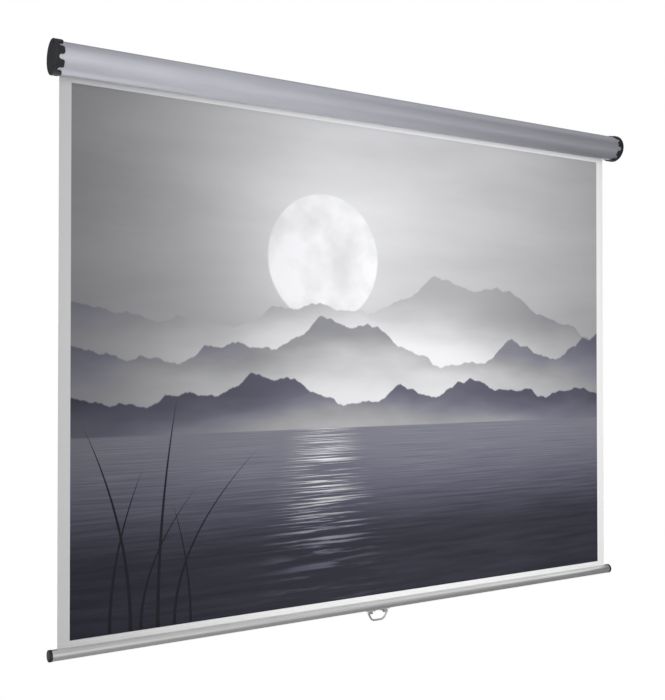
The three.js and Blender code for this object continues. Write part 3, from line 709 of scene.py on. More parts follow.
def with_ridges(look, light, across, up, flat):
    """Ridges one before the other, each darker than the last, with mist at its foot."""
    aside = look.apart(across, GLOW_SHARES[0])
    lit = look.minus(1.0, look.ramp(aside, *RIDGE_DIM_SHARES, 0.0, RIDGE_DIM, smooth=True))
    for number, (height, swing, waves, shade, mist) in enumerate(RIDGE_SHARES):
        wander = look.noise((waves, 0.0, 1.0 + number), detail=7.0, roughness=0.48, place=flat)
        crest = look.ramp(wander, *RIDGE_RANGE, height - swing, height + swing)
        haze = look.noise((3.0, 8.0, 1.0 + number), detail=4.0, place=flat)
        drift = look.spread(haze, -MIST_DRIFT_SHARE, MIST_DRIFT_SHARE)
        depth = look.plus(look.minus(height + swing / 3, up), drift)
        veil = look.ramp(depth, 0.0, MIST_DEPTH_SHARE, 0.0, 1.0, smooth=True)
        tone = look.times(look.blend(veil, shade, mist), lit)
        light = look.blend(below(look, up, crest, RIDGE_SOFTNESS_SHARE), light, tone)
    return light


def with_lake(look, light, across, up):
    """Dark water with ripples that widen towards the viewer, and the moon's broken reflection."""
    depth = look.minus(HORIZON_SHARE, up)
    near = look.ramp(depth, 0.0, HORIZON_SHARE, 0.0, 1.0)
    rows = look.times(look.over(1.0, look.plus(depth, RIPPLE_FAR_SHARE)), RIPPLE_ROWS)
    drawn = look.add("ShaderNodeCombineXYZ", {0: look.times(across, RIPPLE_COLUMNS), 1: rows})
    ripples = look.noise((1.0,) * 3, detail=5.0, roughness=0.6, place=drawn.outputs[0])
    calm = look.ramp(near, 0.0, CALM_SHARE, 0.0, 1.0, smooth=True)
    water = look.times(look.blend(calm, *WATER_TONES), look.spread(ripples, *RIPPLE_FACTORS))
    width = look.ramp(near, 0.0, 1.0, *GLINT_WIDTH_SHARES)
    aside = look.over(look.apart(across, MOON_SHARES[0]), width)
    column = look.ramp(aside, 0.0, 1.0, 1.0, 0.0, smooth=True)
    glints = look.times(column, look.ramp(ripples, *GLINT_RANGE, 0.0, 1.0, smooth=True))
    glow = look.times(glints, look.ramp(near, 0.0, GLINT_REACH_SHARE, *GLINT_TONES, smooth=True))
    lake = look.plus(water, glow)
    return look.blend(below(look, up, HORIZON_SHARE, WATER_EDGE_SHARE), light, lake)


def with_reeds(look, light, across, up):
    """A few dark bent blades at the near shore."""
    for foot, lean, height, thickness in REED_SHARES:
        rise = look.over(up, height)
        bend = look.times(look.math("POWER", rise, 2.0), lean)
        aside = look.apart(across, look.plus(bend, foot))
        left = look.math("SUBTRACT", 1.0, rise, clamp=True)
        full = look.times(look.math("SQRT", left), thickness)
        width = look.minus(full, REED_SOFTNESS_SHARE / 2)
        light = look.blend(below(look, aside, width, REED_SOFTNESS_SHARE), light, REED_TONE)
    return light


def cloth_front():
    """The cloth's face: matt white borders round the picture."""
    look = Look("cloth_front", Specular_IOR_Level=0.25)
    across, up, flat = picture_frame(look)
    light = sky(look, across, up, flat)
    light = with_moon(look, light, across, up, flat)
    light = with_ridges(look, light, across, up, flat)
    light = with_lake(look, light, across, up)
    light = with_reeds(look, light, across, up)
    light = look.math("MINIMUM", light, BORDER_WHITE[0])
    blue = look.times(light, look.ramp(light, *COOL_TONES, *COOL_FACTORS))
    shades = look.add("ShaderNodeCombineColor", {0: light, 1: light, 2: blue}).outputs[0]
    printed = look.times(within(look, across, 1.0), within(look, up, PICTURE_RATIO_SHARE))
    cloud = look.noise((6.0,) * 3, detail=5.0)
    return matt_coating(look, cloud, look.tint(printed, BORDER_WHITE, shades))


casing_metal = extruded_metal(
    "casing_metal", (0.60, 0.605, 0.67, 1), (0.65, 0.655, 0.72, 1), 0.44, 1400.0, metallic=0.88,
)
bar_metal = extruded_metal("bar_metal", (0.69, 0.69, 0.695, 1), (0.76, 0.76, 0.76, 1), 0.4, 1800.0)
roller_metal = extruded_metal("roller_metal", (0.55, 0.55, 0.56, 1), (0.66, 0.66, 0.67, 1), 0.32, 1500.0)
black_plastic = moulded_plastic("black_plastic", (0.006, 0.007, 0.010, 1), (0.012, 0.013, 0.018, 1), 0.5)
grey_plastic = moulded_plastic("grey_plastic", (0.014, 0.014, 0.016, 1), (0.024, 0.024, 0.027, 1), 0.5)
nylon = moulded_plastic("nylon", (0.70, 0.67, 0.58, 1), (0.80, 0.78, 0.70, 1), 0.42, NYLON_GRAIN)
zinc = plated_steel("zinc", (0.42, 0.43, 0.45, 1), (0.62, 0.62, 0.61, 1), 0.36)
black_steel = plated_steel("black_steel", (0.012, 0.012, 0.013, 1), (0.035, 0.035, 0.037, 1), 0.42)
spring_steel = plated_steel(
    "spring_steel", (0.10, 0.10, 0.11, 1), (0.24, 0.24, 0.25, 1), 0.3, SPRING_SPANGLE,
)
brass = plated_steel("brass", (0.42, 0.28, 0.09, 1), (0.62, 0.44, 0.17, 1), 0.32, BRASS_SPANGLE)
wire_metal = plated_steel("wire_metal", (0.64, 0.64, 0.66, 1), (0.78, 0.78, 0.80, 1), 0.3, WIRE_SPANGLE)
front_cloth = cloth_front()
back_cloth = cloth_back()
white_cloth = cloth_white()


def dress(piece, material, body, slot, *nodes):
    """Gives a finished piece its material and body, and hides the nodes it stands for; the slot is not
    used.
    """
    piece.data.materials.clear()
    piece.data.materials.append(material)
    shade(piece)
    place_on(piece, body, slot, *nodes)


def place_on(piece, body, slot, *nodes):
    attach(piece, body)
    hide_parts(*nodes)


def middle_of(node):
    low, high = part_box(node)
    return (low + high) / 2


# Casing


def port_bulge(angle):
    """Half the angle that a screw port takes, the inside outline round it, and its bore."""
    reach = CASING_BORE - PORT_RADIUS + PORT_WELD
    centre = polar(reach, angle)
    squares = reach**2 + CASING_BORE**2 - PORT_RADIUS**2
    half = math.degrees(math.acos(squares / (2 * reach * CASING_BORE)))
    start = angle_of(polar(CASING_BORE, angle + half), centre)
    end = angle_of(polar(CASING_BORE, angle - half), centre)
    bulge = arc(PORT_RADIUS, start, start + (end - start) % 360, PORT_STEPS, centre)
    return half, bulge, circle(PORT_BORE, centre, PORT_SIDES)


def casing_section():
    """Outline of the slotted round section, and the screw ports' bores, round the roller's axis."""
    drop = CLOTH_Y - AXIS_Y
    front = drop - SLOT_HALF
    rear = drop + SLOT_HALF
    rear_angle = angle_of(low_point(CASING_RADIUS, rear))
    front_angle = angle_of(low_point(CASING_RADIUS, front)) + 360
    outline = arc(CASING_RADIUS, rear_angle, front_angle, CASING_STEPS)
    lip_top = outline[-1][1] + LIP_HEIGHT
    inner_front = front - LIP_THICKNESS
    tip = LIP_THICKNESS / 3
    outline += [(front, lip_top - tip), (front - tip, lip_top), (inner_front + tip, lip_top)]
    outline += [(inner_front, lip_top - tip)]
    here = angle_of(low_point(CASING_BORE, inner_front)) + 360
    bores = []
    for angle in sorted(PORT_ANGLES, reverse=True):
        half, bulge, bore = port_bulge(angle)
        steps = round((here - angle) / BORE_STEP_DEGREES)
        outline += arc(CASING_BORE, here, angle + half, steps)[:-1]
        outline += bulge
        bores.append(bore)
        here = angle - half
    rear_lip_y = rear + LIP_THICKNESS
    rear_lip_top = low_point(CASING_RADIUS, rear_lip_y)[1] + LIP_HEIGHT
    end = angle_of((rear_lip_y, rear_lip_top))
    outline += arc(CASING_BORE, here, end, round((here - end) / BORE_STEP_DEGREES))
    outline += [(rear + tip, rear_lip_top), (rear, rear_lip_top - tip)]
    return [outline, *bores]


def build_casing():
    outline, *bores = [[(AXIS_Y + y, z) for y, z in loop] for loop in casing_section()]
    body = prism("casing_shell", outline, -CASING_HALF, CASING_HALF, bores)
    rail_half = CASING_HALF - RAIL_INSET
    surface_y = AXIS_Y + math.sqrt(CASING_BORE**2 - RAIL_TOP**2)
    hook_front = AXIS_Y + CASING_RADIUS + RAIL_SLOT
    hook_back = hook_front + RAIL_THICKNESS
    small = RAIL_THICKNESS / 3
    hook = rounded([
        (surface_y, RAIL_TOP, 0),
        (surface_y, RAIL_TOP - RAIL_THICKNESS, 0),
        (hook_front, RAIL_TOP - RAIL_THICKNESS, small),
        (hook_front, RAIL_TOP - RAIL_DEPTH, small),
        (hook_back, RAIL_TOP - RAIL_DEPTH, small),
        (hook_back, RAIL_TOP, RAIL_THICKNESS / 2),
    ])
    rib_y = AXIS_Y + math.sqrt(CASING_BORE**2 - (RIB_DROP + RAIL_THICKNESS)**2)
    rib = rounded([
        (rib_y, -RIB_DROP, 0),
        (rib_y, -RIB_DROP - RAIL_THICKNESS, 0),
        (casing_high.y, -RIB_DROP - RAIL_THICKNESS, small),
        (casing_high.y, -RIB_DROP, small),
    ])
    for outline in (hook, rib):
        combine(body, "UNION", prism("rail", outline, -rail_half, rail_half))
    for hand in ("left", "right"):
        place = middle_of(f"bracket_lock_screw_{hand}")
        bottom = -RIB_DROP - RAIL_THICKNESS - OVERRUN
        drill(body, LOCK_SCREW_HOLE, (place.x, place.y), bottom, -RIB_DROP + OVERRUN)
    dress(body, casing_metal, "root", "casing_aluminium", "casing")


# End caps


def tongue_edge(offset, tip):
    """How far the sleeve reaches along x at an offset round it from the middle of a gap."""
    if offset < CAP_GAP_RADIUS:
        return CAP_GAP_ROOT - math.sqrt(CAP_GAP_RADIUS**2 - offset**2)
    inward = max(0.0, CAP_GAP_RADIUS + CAP_TONGUE_CORNER - offset)
    return tip - CAP_TONGUE_CORNER + math.sqrt(max(0.0, CAP_TONGUE_CORNER**2 - inward**2))


def sleeve_pattern(radius, tip):
    """Flat pattern of one gap and the halves of the tongues beside it, cut fine enough to bend."""
    pitch = 2 * math.pi * radius / CAP_TONGUES
    columns = CAP_COLUMNS // CAP_TONGUES
    centre = (CAP_GAP_RADIUS + CAP_TONGUE_CORNER, tip - CAP_TONGUE_CORNER)
    half = arc(CAP_GAP_RADIUS, -90, 0, CAP_CORNER_STEPS, (0, CAP_GAP_ROOT))
    half += arc(CAP_TONGUE_CORNER, 180, 90, CAP_CORNER_STEPS, centre)
    half.append((pitch / 2, tip))
    edge = [(-s, x) for s, x in reversed(half[1:])] + half
    base = [(pitch * (i / columns - 0.5), CAP_DISC) for i in range(columns, -1, -1)]
    border = edge + base
    inner = []
    for i in range(1, columns):
        s = pitch * (i / columns - 0.5)
        reach = tongue_edge(abs(s), tip)
        for j in range(1, CAP_ROWS):
            x = CAP_DISC + (tip - CAP_DISC) * j / CAP_ROWS
            if x < reach - CAP_ROW_GAP and abs(abs(s) - CAP_GAP_RADIUS) > CAP_COLUMN_GAP:
                inner.append((s, x))
    points = [Vector(p) for p in border + inner]
    ring = list(range(len(border)))
    result = delaunay_2d_cdt(points, [], [ring], 1, WELD_DISTANCE)
    return [tuple(p) for p in result[0]], [tuple(f) for f in result[2]], pitch


def cap_sleeve(tip, outer, inner):
    """Points and faces of the tongues' outer and inner surfaces and the edge between them."""
    flat, faces, pitch = sleeve_pattern(outer, tip)
    edges = {}
    for face in faces:
        for a, b in zip(face, face[1:] + face[:1]):
            edges[frozenset((a, b))] = edges.get(frozenset((a, b)), 0) + 1
    rim = [tuple(edge) for edge, uses in edges.items() if uses == 1]
    rim = [
        (a, b) for a, b in rim
        if max(flat[a][1], flat[b][1]) > CAP_DISC + TINY
        and min(abs(flat[a][0]), abs(flat[b][0])) < pitch / 2 - TINY
    ]
    points = []
    solid = []
    for number in range(CAP_TONGUES):
        middle = CAP_TONGUE_PHASE + (number + 0.5) * 360 / CAP_TONGUES
        start = len(points)
        for radius in (outer, inner):
            for s, x in flat:
                turn = math.radians(middle) + s / outer
                points.append((x, -radius * math.sin(turn), radius * math.cos(turn)))
        count = len(flat)
        for face in faces:
            solid.append(tuple(start + i for i in face))
            solid.append(tuple(start + count + i for i in face))
        for a, b in rim:
            solid.append((start + a, start + b, start + count + b, start + count + a))
    return points, solid


def cap_disc(outer, inner):
    """Points and faces of the cap's dished face, its rim and its inner side with the boss."""
    profile = [
        (0, CAP_DISH_DEPTH),
        (CAP_DISH_RADIUS - CAP_DISH_DEPTH, CAP_DISH_DEPTH),
        (CAP_DISH_RADIUS, 0),
        *arc(CAP_EDGE, -90, 0, CAP_EDGE_STEPS, (outer - CAP_EDGE, CAP_EDGE)),
        (outer, CAP_DISC),
    ]
    inside = [
        (inner, CAP_DISC),
        (CAP_BOSS_RADIUS, CAP_DISC),
        (CAP_BOSS_RADIUS, CAP_BOSS_END),
        (0, CAP_BOSS_END),
    ]
    points = []
    faces = []
    for run in (profile, inside):
        rings = []
        for radius, x in run:
            ring = list(range(len(points), len(points) + (CAP_COLUMNS if radius else 1)))
            for i in range(len(ring)):
                turn = math.radians(CAP_TONGUE_PHASE) + 2 * math.pi * i / CAP_COLUMNS
                points.append((x, -radius * math.sin(turn), radius * math.cos(turn)))
            rings.append(ring)
        for lower, upper in zip(rings, rings[1:]):
            if len(lower) == 1 or len(upper) == 1:
                faces.append(tuple(lower if len(upper) == 1 else upper))
                continue
            for i in range(CAP_COLUMNS):
                j = (i + 1) % CAP_COLUMNS
                faces.append((lower[i], lower[j], upper[j], upper[i]))
    return points, faces


def build_cap(hand, side):
    low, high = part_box(f"end_cap_{hand}")
    face_x = high.x if side > 0 else low.x
    outer = high.z
    inner = outer - CAP_SLEEVE
    tip = high.x - low.x
    sleeve_points, sleeve_faces = cap_sleeve(tip, outer, inner)
    disc_points, disc_faces = cap_disc(outer, inner)
    start = len(sleeve_points)
    points = [(face_x - side * x, AXIS_Y + y, z) for x, y, z in sleeve_points + disc_points]
    faces = sleeve_faces + [tuple(start + i for i in face) for face in disc_faces]
    cap = piece_from(f"cap_{hand}", points, faces)
    for number in (1, 2):
        screw_low, screw_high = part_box(f"cap_screw_{hand}_{number}")
        middle = (screw_low + screw_high) / 2
        head = (screw_high.z - screw_low.z) / 2
        seat = [
            (0, -OVERRUN),
            (head + GAP, -OVERRUN),
            (head + GAP, CAP_DISH_DEPTH),
            (CAP_SCREW_HOLE, CAP_DISH_DEPTH + CAP_SCREW_HEAD),
            (CAP_SCREW_HOLE, CAP_DISC + OVERRUN),
            (0, CAP_DISC + OVERRUN),
        ]
        tool = lathe("seat", seat, (face_x, middle.y, middle.z), (-side, 0, 0), SEAT_SIDES)
        combine(cap, "DIFFERENCE", tool)
    dress(cap, black_plastic, "root", "cap_plastic", f"end_cap_{hand}")


# Screws


def cross_recess(place, direction, reach):
    """Two crossed bars that cut a screw's recess into its head."""
    along = Vector(direction)
    across = along.orthogonal().normalized()
    aside = along.cross(across)
    bars = []
    for wide, narrow in ((across, aside), (aside, across)):
        points = []
        for end, share in ((-OVERRUN, 1.0), (CROSS_DEPTH, CROSS_FLOOR_SHARE)):
            for u, v in ((1, 1), (-1, 1), (-1, -1), (1, -1)):
                offset = wide * (u * reach * share) + narrow * (v * CROSS_WIDTH / 2)
                points.append(Vector(place) + along * end + offset)
        faces = [(0, 1, 2, 3), (4, 5, 6, 7), (0, 1, 5, 4), (1, 2, 6, 5), (2, 3, 7, 6), (3, 0, 4, 7)]
        bars.append(piece_from("recess", points, faces))
    return bars


def build_screw(name, profile, place, direction, reach, material, body, slot, *nodes):
    """A turned screw from a profile that starts at its head, with a cross recess."""
    screw = lathe(name, profile, place, direction, SCREW_SIDES)
    combine(screw, "DIFFERENCE", *cross_recess(place, direction, reach))
    dress(screw, material, body, slot, *nodes)


def build_cap_screw(hand, side, number):
    node = f"cap_screw_{hand}_{number}"
    low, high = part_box(node)
    middle = (low + high) / 2
    head = (high.z - low.z) / 2
    length = high.x - low.x
    outer = high.x if side > 0 else low.x
    cone = [(0, 0, 0), (head, 0, FINE_EDGE), (CAP_SCREW_SHANK, CAP_SCREW_HEAD, FINE_EDGE)]
    profile = [*rounded(cone, FINE_STEPS), (CAP_SCREW_SHANK, length - CAP_SCREW_SHANK), (0, length)]
    place = (outer, middle.y, middle.z)
    build_screw(
        f"screw_{hand}_{number}", profile, place, (-side, 0, 0), head * CAP_CROSS_SHARE,
        black_steel, "root", "black_steel", node,
    )


def build_pan_screw(name, node, head_height, shank, point, material, body, slot):
    """A screw that points up, with a low round head and a short point."""
    low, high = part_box(node)
    middle = (low + high) / 2
    head = (high.x - low.x) / 2
    length = high.z - low.z
    profile = [(head * across, head_height / 2 * up) for across, up in PAN_SHARES]
    profile += [(head, head_height), (shank, head_height), (shank, length - point), (0, length)]
    build_screw(
        name, profile, (middle.x, middle.y, low.z), (0, 0, 1), head * PAN_CROSS_SHARE,
        material, body, slot, node,
    )


# Wall brackets


def bracket_section():
    """The bracket's bent plate seen from its end, in the section plane."""
    plate = -BRACKET_PLATE
    tongue_back = AXIS_Y + CASING_RADIUS + RAIL_SLOT - HOOK_CLEARANCE
    tongue_front = tongue_back - BRACKET_TONGUE
    tongue_top = RAIL_TOP - RAIL_THICKNESS - HOOK_CLEARANCE
    shelf_top = RAIL_TOP - RAIL_DEPTH - HOOK_CLEARANCE
    shelf_bottom = shelf_top - BRACKET_TONGUE
    tab_top = -(RIB_DROP + RAIL_THICKNESS + BRACKET_TAB_GAP)
    tab_bottom = tab_top - BRACKET_TONGUE
    low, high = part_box("wall_bracket_left")
    bend = BRACKET_TONGUE / 4
    outer = BRACKET_TONGUE
    return rounded([
        (0, low.z, bend),
        (0, high.z, bend),
        (plate, high.z, bend),
        (plate, shelf_top, bend),
        (tongue_back, shelf_top, bend),
        (tongue_back, tongue_top, bend),
        (tongue_front, tongue_top, bend),
        (tongue_front, shelf_bottom, outer),
        (plate, shelf_bottom, bend),
        (plate, tab_top, bend),
        (plate - BRACKET_TAB, tab_top, bend),
        (plate - BRACKET_TAB, tab_bottom, bend),
        (plate, tab_bottom, bend),
        (plate, low.z, bend),
    ])


def build_bracket(hand):
    low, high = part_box(f"wall_bracket_{hand}")
    bracket = prism(f"bracket_{hand}", bracket_section(), low.x, high.x)
    blank = rounded_blank(low.x, high.x, low.z, high.z, BRACKET_CORNER)
    combine(bracket, "INTERSECT", prism("blank", blank, low.y - OVERRUN, high.y + OVERRUN, axis="y"))
    for height in (BRACKET_HOLE_UP, -BRACKET_HOLE_DOWN):
        centre = ((low.x + high.x) / 2, height)
        drill(bracket, BRACKET_HOLE, centre, -BRACKET_PLATE - OVERRUN, OVERRUN, "y", BRACKET_HOLE_SIDES)
    place = middle_of(f"bracket_lock_screw_{hand}")
    drill(bracket, LOCK_SCREW_HOLE, (place.x, place.y), low.z, -RIB_DROP)
    soften(bracket)
    dress(bracket, zinc, "root", "zinc_steel", f"wall_bracket_{hand}")


def build_lock_screw(hand):
    shank = LOCK_SCREW_HOLE - GAP
    build_pan_screw(
        f"lock_screw_{hand}", f"bracket_lock_screw_{hand}", LOCK_SCREW_HEAD, shank, shank,
        zinc, "root", "zinc_steel",
    )


# Cloth


def cloth_wave(x, share):
    """How far the cloth stands off its plane towards the wall, nothing at the roller and at the hem."""
    hold = math.sin(math.pi * share)
    side = x / cloth_high.x
    sway = math.sin(SWAY_ACROSS * side + SWAY_START) * math.sin(math.pi * SWAY_DOWN * share)
    curl = side**CURL_POWER * math.sin(math.pi * (CURL_DOWN * share + CURL_START))
    ripple = math.sin(RIPPLE_ACROSS * side + RIPPLE_START) * (1 - share) ** 2
    shape = 1 + SWAY_SHARE * sway - CURL_SHARE * curl + RIPPLE_SHARE * ripple
    return CLOTH_WAVE / 2 * hold * shape


def build_cloth():
    """The hanging cloth: a thin closed sheet, white in front and coated dark at the back."""
    columns = CLOTH_COLUMNS
    rows = CLOTH_ROWS
    points = []
    for y in (cloth_low.y, cloth_high.y):
        for j in range(rows + 1):
            share = j / rows
            z = cloth_high.z + (cloth_low.z - cloth_high.z) * share
            for i in range(columns + 1):
                x = cloth_low.x + (cloth_high.x - cloth_low.x) * i / columns
                points.append((x, y + cloth_wave(x, share), z))
    layer = (columns + 1) * (rows + 1)
    faces = []
    for j in range(rows):
        for i in range(columns):
            a = j * (columns + 1) + i
            b = a + columns + 1
            faces.append((a, b, b + 1, a + 1))
            faces.append((layer + a, layer + a + 1, layer + b + 1, layer + b))
    border = list(range(columns))
    border += [j * (columns + 1) + columns for j in range(rows)]
    border += [rows * (columns + 1) + i for i in range(columns, 0, -1)]
    border += [j * (columns + 1) for j in range(rows, 0, -1)]
    for a, b in zip(border, border[1:] + border[:1]):
        faces.append((a, b, layer + b, layer + a))
    cloth = piece_from("cloth", points, faces)
    cloth.data.materials.append(front_cloth)
    cloth.data.materials.append(back_cloth)
    for face in cloth.data.polygons:
        face.material_index = 1 if face.normal.y > 0.5 else 0
    shade(cloth)
    place_on(cloth, "root", "screen_fabric", "screen_fabric")
    return cloth


def build_hem():
    """The cloth's lower end: folded double, with a loop round the rod in the bar."""
    low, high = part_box("fabric_hem")
    rod_low, rod_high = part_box("hem_rod")
    centre = (CLOTH_Y, (rod_low.z + rod_high.z) / 2)
    inner = (rod_high.z - rod_low.z) / 2 + GAP
    half = HEM_FOLD / 2
    outer = inner + half
    lean = math.degrees(math.asin(half / outer))
    outline = arc(outer, 90 + lean, 450 - lean, HEM_STEPS, centre)
    outline += [(CLOTH_Y + half, high.z), (CLOTH_Y - half, high.z)]
    hem = prism("hem", outline, low.x, high.x, [circle(inner, centre, HEM_STEPS)])
    dress(hem, white_cloth, "bar", "screen_fabric", "fabric_hem")
    return hem


def build_roll():
    """Two turns of cloth left on the roller, coated side out."""
    low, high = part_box("fabric_roll")
    tube_low, tube_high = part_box("roller_tube")
    outer = (high.z - low.z) / 2
    inner = (tube_high.z - tube_low.z) / 2 + GAP
    thickness = (outer - inner) / ROLL_TURNS
    steps = ROLL_SIDES * ROLL_TURNS
    points = []
    for i in range(steps + 1):
        share = i / steps
        degrees = 360 * ROLL_TURNS * share
        radius = inner + (outer - inner - thickness) * share
        for reach in (radius, radius + thickness * ROLL_FILL_SHARE):
            y, z = polar(reach, degrees, (AXIS_Y, 0))
            points += [(low.x, y, z), (high.x, y, z)]
    faces = [(0, 1, 3, 2), tuple(4 * steps + k for k in (0, 1, 3, 2))]
    for i in range(steps):
        a = 4 * i
        for first, second in ((0, 1), (1, 3), (3, 2), (2, 0)):
            faces.append((a + first, a + second, a + 4 + second, a + 4 + first))
    roll = piece_from("roll", points, faces)
    dress(roll, back_cloth, "roller", "screen_fabric", "fabric_roll")
    return roll


# Weight bar and its caps


def build_bar():
    bore = BAR_RADIUS - BAR_WALL
    half = BAR_SLOT / 2
    round_off = BAR_WALL / 4
    outer_lean = math.degrees(math.asin((half + round_off) / BAR_RADIUS))
    inner_lean = math.degrees(math.asin((half + round_off) / bore))
    outline = arc(BAR_RADIUS, 90 + outer_lean, 450 - outer_lean, BAR_STEPS, BAR_CENTRE)
    outer_z = BAR_CENTRE[1] + math.sqrt(BAR_RADIUS**2 - half**2)
    inner_z = BAR_CENTRE[1] + math.sqrt(bore**2 - half**2)
    outline += [(CLOTH_Y + half, outer_z - round_off), (CLOTH_Y + half, inner_z + round_off)]
    outline += arc(bore, 450 - inner_lean, 90 + inner_lean, BAR_BORE_STEPS, BAR_CENTRE)
    outline += [(CLOTH_Y - half, inner_z + round_off), (CLOTH_Y - half, outer_z - round_off)]
    bar = prism("bar_tube", outline, bar_low.x, bar_high.x)
    for hand in ("left", "right"):
        spot = (middle_of(f"saddle_screw_{hand}").x, CLOTH_Y)
        drill(bar, SADDLE_SCREW_HOLE, spot, bar_low.z - OVERRUN, bar_low.z + BAR_HOLE_DEPTH)
    dress(bar, bar_metal, "bar", "bar_aluminium", "weight_bar")


def build_bar_cap(hand, side):
    """A domed plug with a hollow spigot and a collar round the bar's end."""
    node = f"bar_cap_{hand}"
    low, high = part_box(node)
    face = high.x if side > 0 else low.x
    seat = bar_high.x if side > 0 else bar_low.x
    disc = abs(face - seat)
    length = high.x - low.x
    radius = (high.z - low.z) / 2
    spigot = BAR_RADIUS - BAR_WALL - GAP
    collar = BAR_RADIUS + FINE_EDGE
    profile = [(0, 0)]
    for i in range(1, DOME_STEPS + 1):
        turn = math.radians(90 * i / DOME_STEPS)
        drop = 1 - math.cos(turn) ** DOME_POWER
        profile.append((radius * math.sin(turn) ** DOME_POWER, (disc - BAR_CAP_EDGE) * drop))
    profile += [
        (radius, disc + BAR_CAP_COLLAR - FINE_EDGE),
        (radius - FINE_EDGE, disc + BAR_CAP_COLLAR),
        (collar, disc + BAR_CAP_COLLAR),
        (collar, disc - GAP),
        (spigot, disc - GAP),
        (spigot, length - 2 * BAR_CAP_CHAMFER),
        (spigot - BAR_CAP_CHAMFER, length),
        (spigot - BAR_CAP_WALL, length),
        (spigot - BAR_CAP_WALL, disc),
        (0, disc),
    ]
    middle = (low + high) / 2
    place = (face, middle.y, middle.z)
    cap = lathe(f"bar_end_{hand}", profile, place, (-side, 0, 0), BAR_CAP_SIDES)
    dress(cap, grey_plastic, "bar", "bar_cap_plastic", node)


# Handle and its saddle


def handle_points():
    """The wire's route: a D with straight sides that draw in, its ends turned into the knuckles."""
    top = HANDLE_TOP_WIDTH / 2
    bottom = HANDLE_BOTTOM_WIDTH / 2
    foot = handle_low.z + WIRE_RADIUS
    right_side = [
        (bottom, foot, HANDLE_CORNER),
        (top, PIVOT_Z, WIRE_RADIUS + GAP),
        (top - HANDLE_END_INSET, PIVOT_Z, 0),
    ]
    left_side = [(-x, z, radius) for x, z, radius in reversed(right_side)]
    spots = [(Vector((x, CLOTH_Y, z)), radius) for x, z, radius in left_side + right_side]
    points = [spots[0][0]]
    for (before, _), (corner, radius), (after, _) in zip(spots, spots[1:], spots[2:]):
        enter = corner + (before - corner).normalized() * radius
        leave = corner + (after - corner).normalized() * radius
        for i in range(HANDLE_CORNER_STEPS + 1):
            t = i / HANDLE_CORNER_STEPS
            points.append(enter * (1 - t) ** 2 + corner * (2 * t * (1 - t)) + leave * t**2)
    return [*points, spots[-1][0]]


def build_handle():
    handle = wire_tube("handle", handle_points(), WIRE_RADIUS)
    dress(handle, wire_metal, "handle", "handle_wire", "pull_handle")


def build_saddle():
    """A bent plate that hugs the bar, with rounded corners and two barrels for the wire."""
    low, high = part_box("handle_saddle")
    first = -90 - SADDLE_HALF_ANGLE
    last = -90 + SADDLE_HALF_ANGLE
    outline = arc(SADDLE_OUTER, first, last, SADDLE_STEPS, BAR_CENTRE)
    outline += arc(SADDLE_INNER, last, first, SADDLE_STEPS, BAR_CENTRE)
    plate = prism("saddle", outline, low.x, high.x)
    half_depth = SADDLE_OUTER * math.sin(math.radians(SADDLE_HALF_ANGLE)) + SADDLE_MARGIN
    blank = rounded_blank(low.x, high.x, CLOTH_Y - half_depth, CLOTH_Y + half_depth, SADDLE_CORNER)
    bottom = BAR_CENTRE[1] - 2 * SADDLE_OUTER
    combine(plate, "INTERSECT", prism("blank", blank, bottom, BAR_CENTRE[1], axis="z"))
    rise = PIVOT_Z - handle_low.z - WIRE_RADIUS
    slope = (HANDLE_TOP_WIDTH - HANDLE_BOTTOM_WIDTH) / 2 / rise
    leg = HANDLE_TOP_WIDTH / 2 - WIRE_RADIUS * math.hypot(1, slope)
    knuckle_end = leg - slope * KNUCKLE_RADIUS - KNUCKLE_GAP
    pivot = (CLOTH_Y, PIVOT_Z)
    for side in (-1, 1):
        start, end = sorted((side * knuckle_end, side * (knuckle_end - KNUCKLE_LENGTH)))
        barrel = prism("barrel", circle(KNUCKLE_RADIUS, pivot, KNUCKLE_SIDES), start, end)
        combine(plate, "UNION", barrel)
        drill(plate, WIRE_RADIUS + GAP, pivot, start - OVERRUN, end + OVERRUN, "x", KNUCKLE_BORE_SIDES)
    for hand in ("left", "right"):
        spot = (middle_of(f"saddle_screw_{hand}").x, CLOTH_Y)
        underside = BAR_CENTRE[1] - SADDLE_OUTER
        drill(plate, SADDLE_SCREW_HOLE, spot, underside - OVERRUN, underside + OVERRUN)
    dress(plate, bar_metal, "bar", "bar_aluminium", "handle_saddle")


def build_saddle_screw(hand):
    build_pan_screw(
        f"handle_screw_{hand}", f"saddle_screw_{hand}", SADDLE_SCREW_HEAD,
        SADDLE_SCREW_SHANK, SADDLE_SCREW_SHANK / 2, black_steel, "bar", "black_steel",
    )


# Pieces inside, which keep their CAD shapes

INSIDE_FINISHES = (
    (zinc, "spring_shaft", "ratchet_wheel", "collar_pin", "idle_pin", "hem_rod"),
    (zinc, "driver_screw_1", "driver_screw_2", "pawl_1", "pawl_2"),
    (brass, "pawl_pin_1", "pawl_pin_2"),
    (nylon, "spring_collar", "idler_bush", "spring_driver"),
    (spring_steel, "torsion_spring"),
    (roller_metal, "roller_tube"),
    (black_plastic, "roller_plug_left", "roller_plug_right"),
    (grey_plastic, "fabric_lock_strip"),
)


def finish_inside():
    for material, *names in INSIDE_FINISHES:
        for name in names:
            node = frame["nodes"][name]
            node.data.materials.clear()
            node.data.materials.append(material)


build_casing()
for hand, side in (("left", -1), ("right", 1)):
    build_cap(hand, side)
    for number in (1, 2):
        build_cap_screw(hand, side, number)
    build_bracket(hand)
    build_lock_screw(hand)
    build_bar_cap(hand, side)
    build_saddle_screw(hand)
build_bar()
build_saddle()
build_handle()
cloth = build_cloth()
hem = build_hem()
roll = build_roll()
finish_inside()

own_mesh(cloth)


# Camera, floor and lights

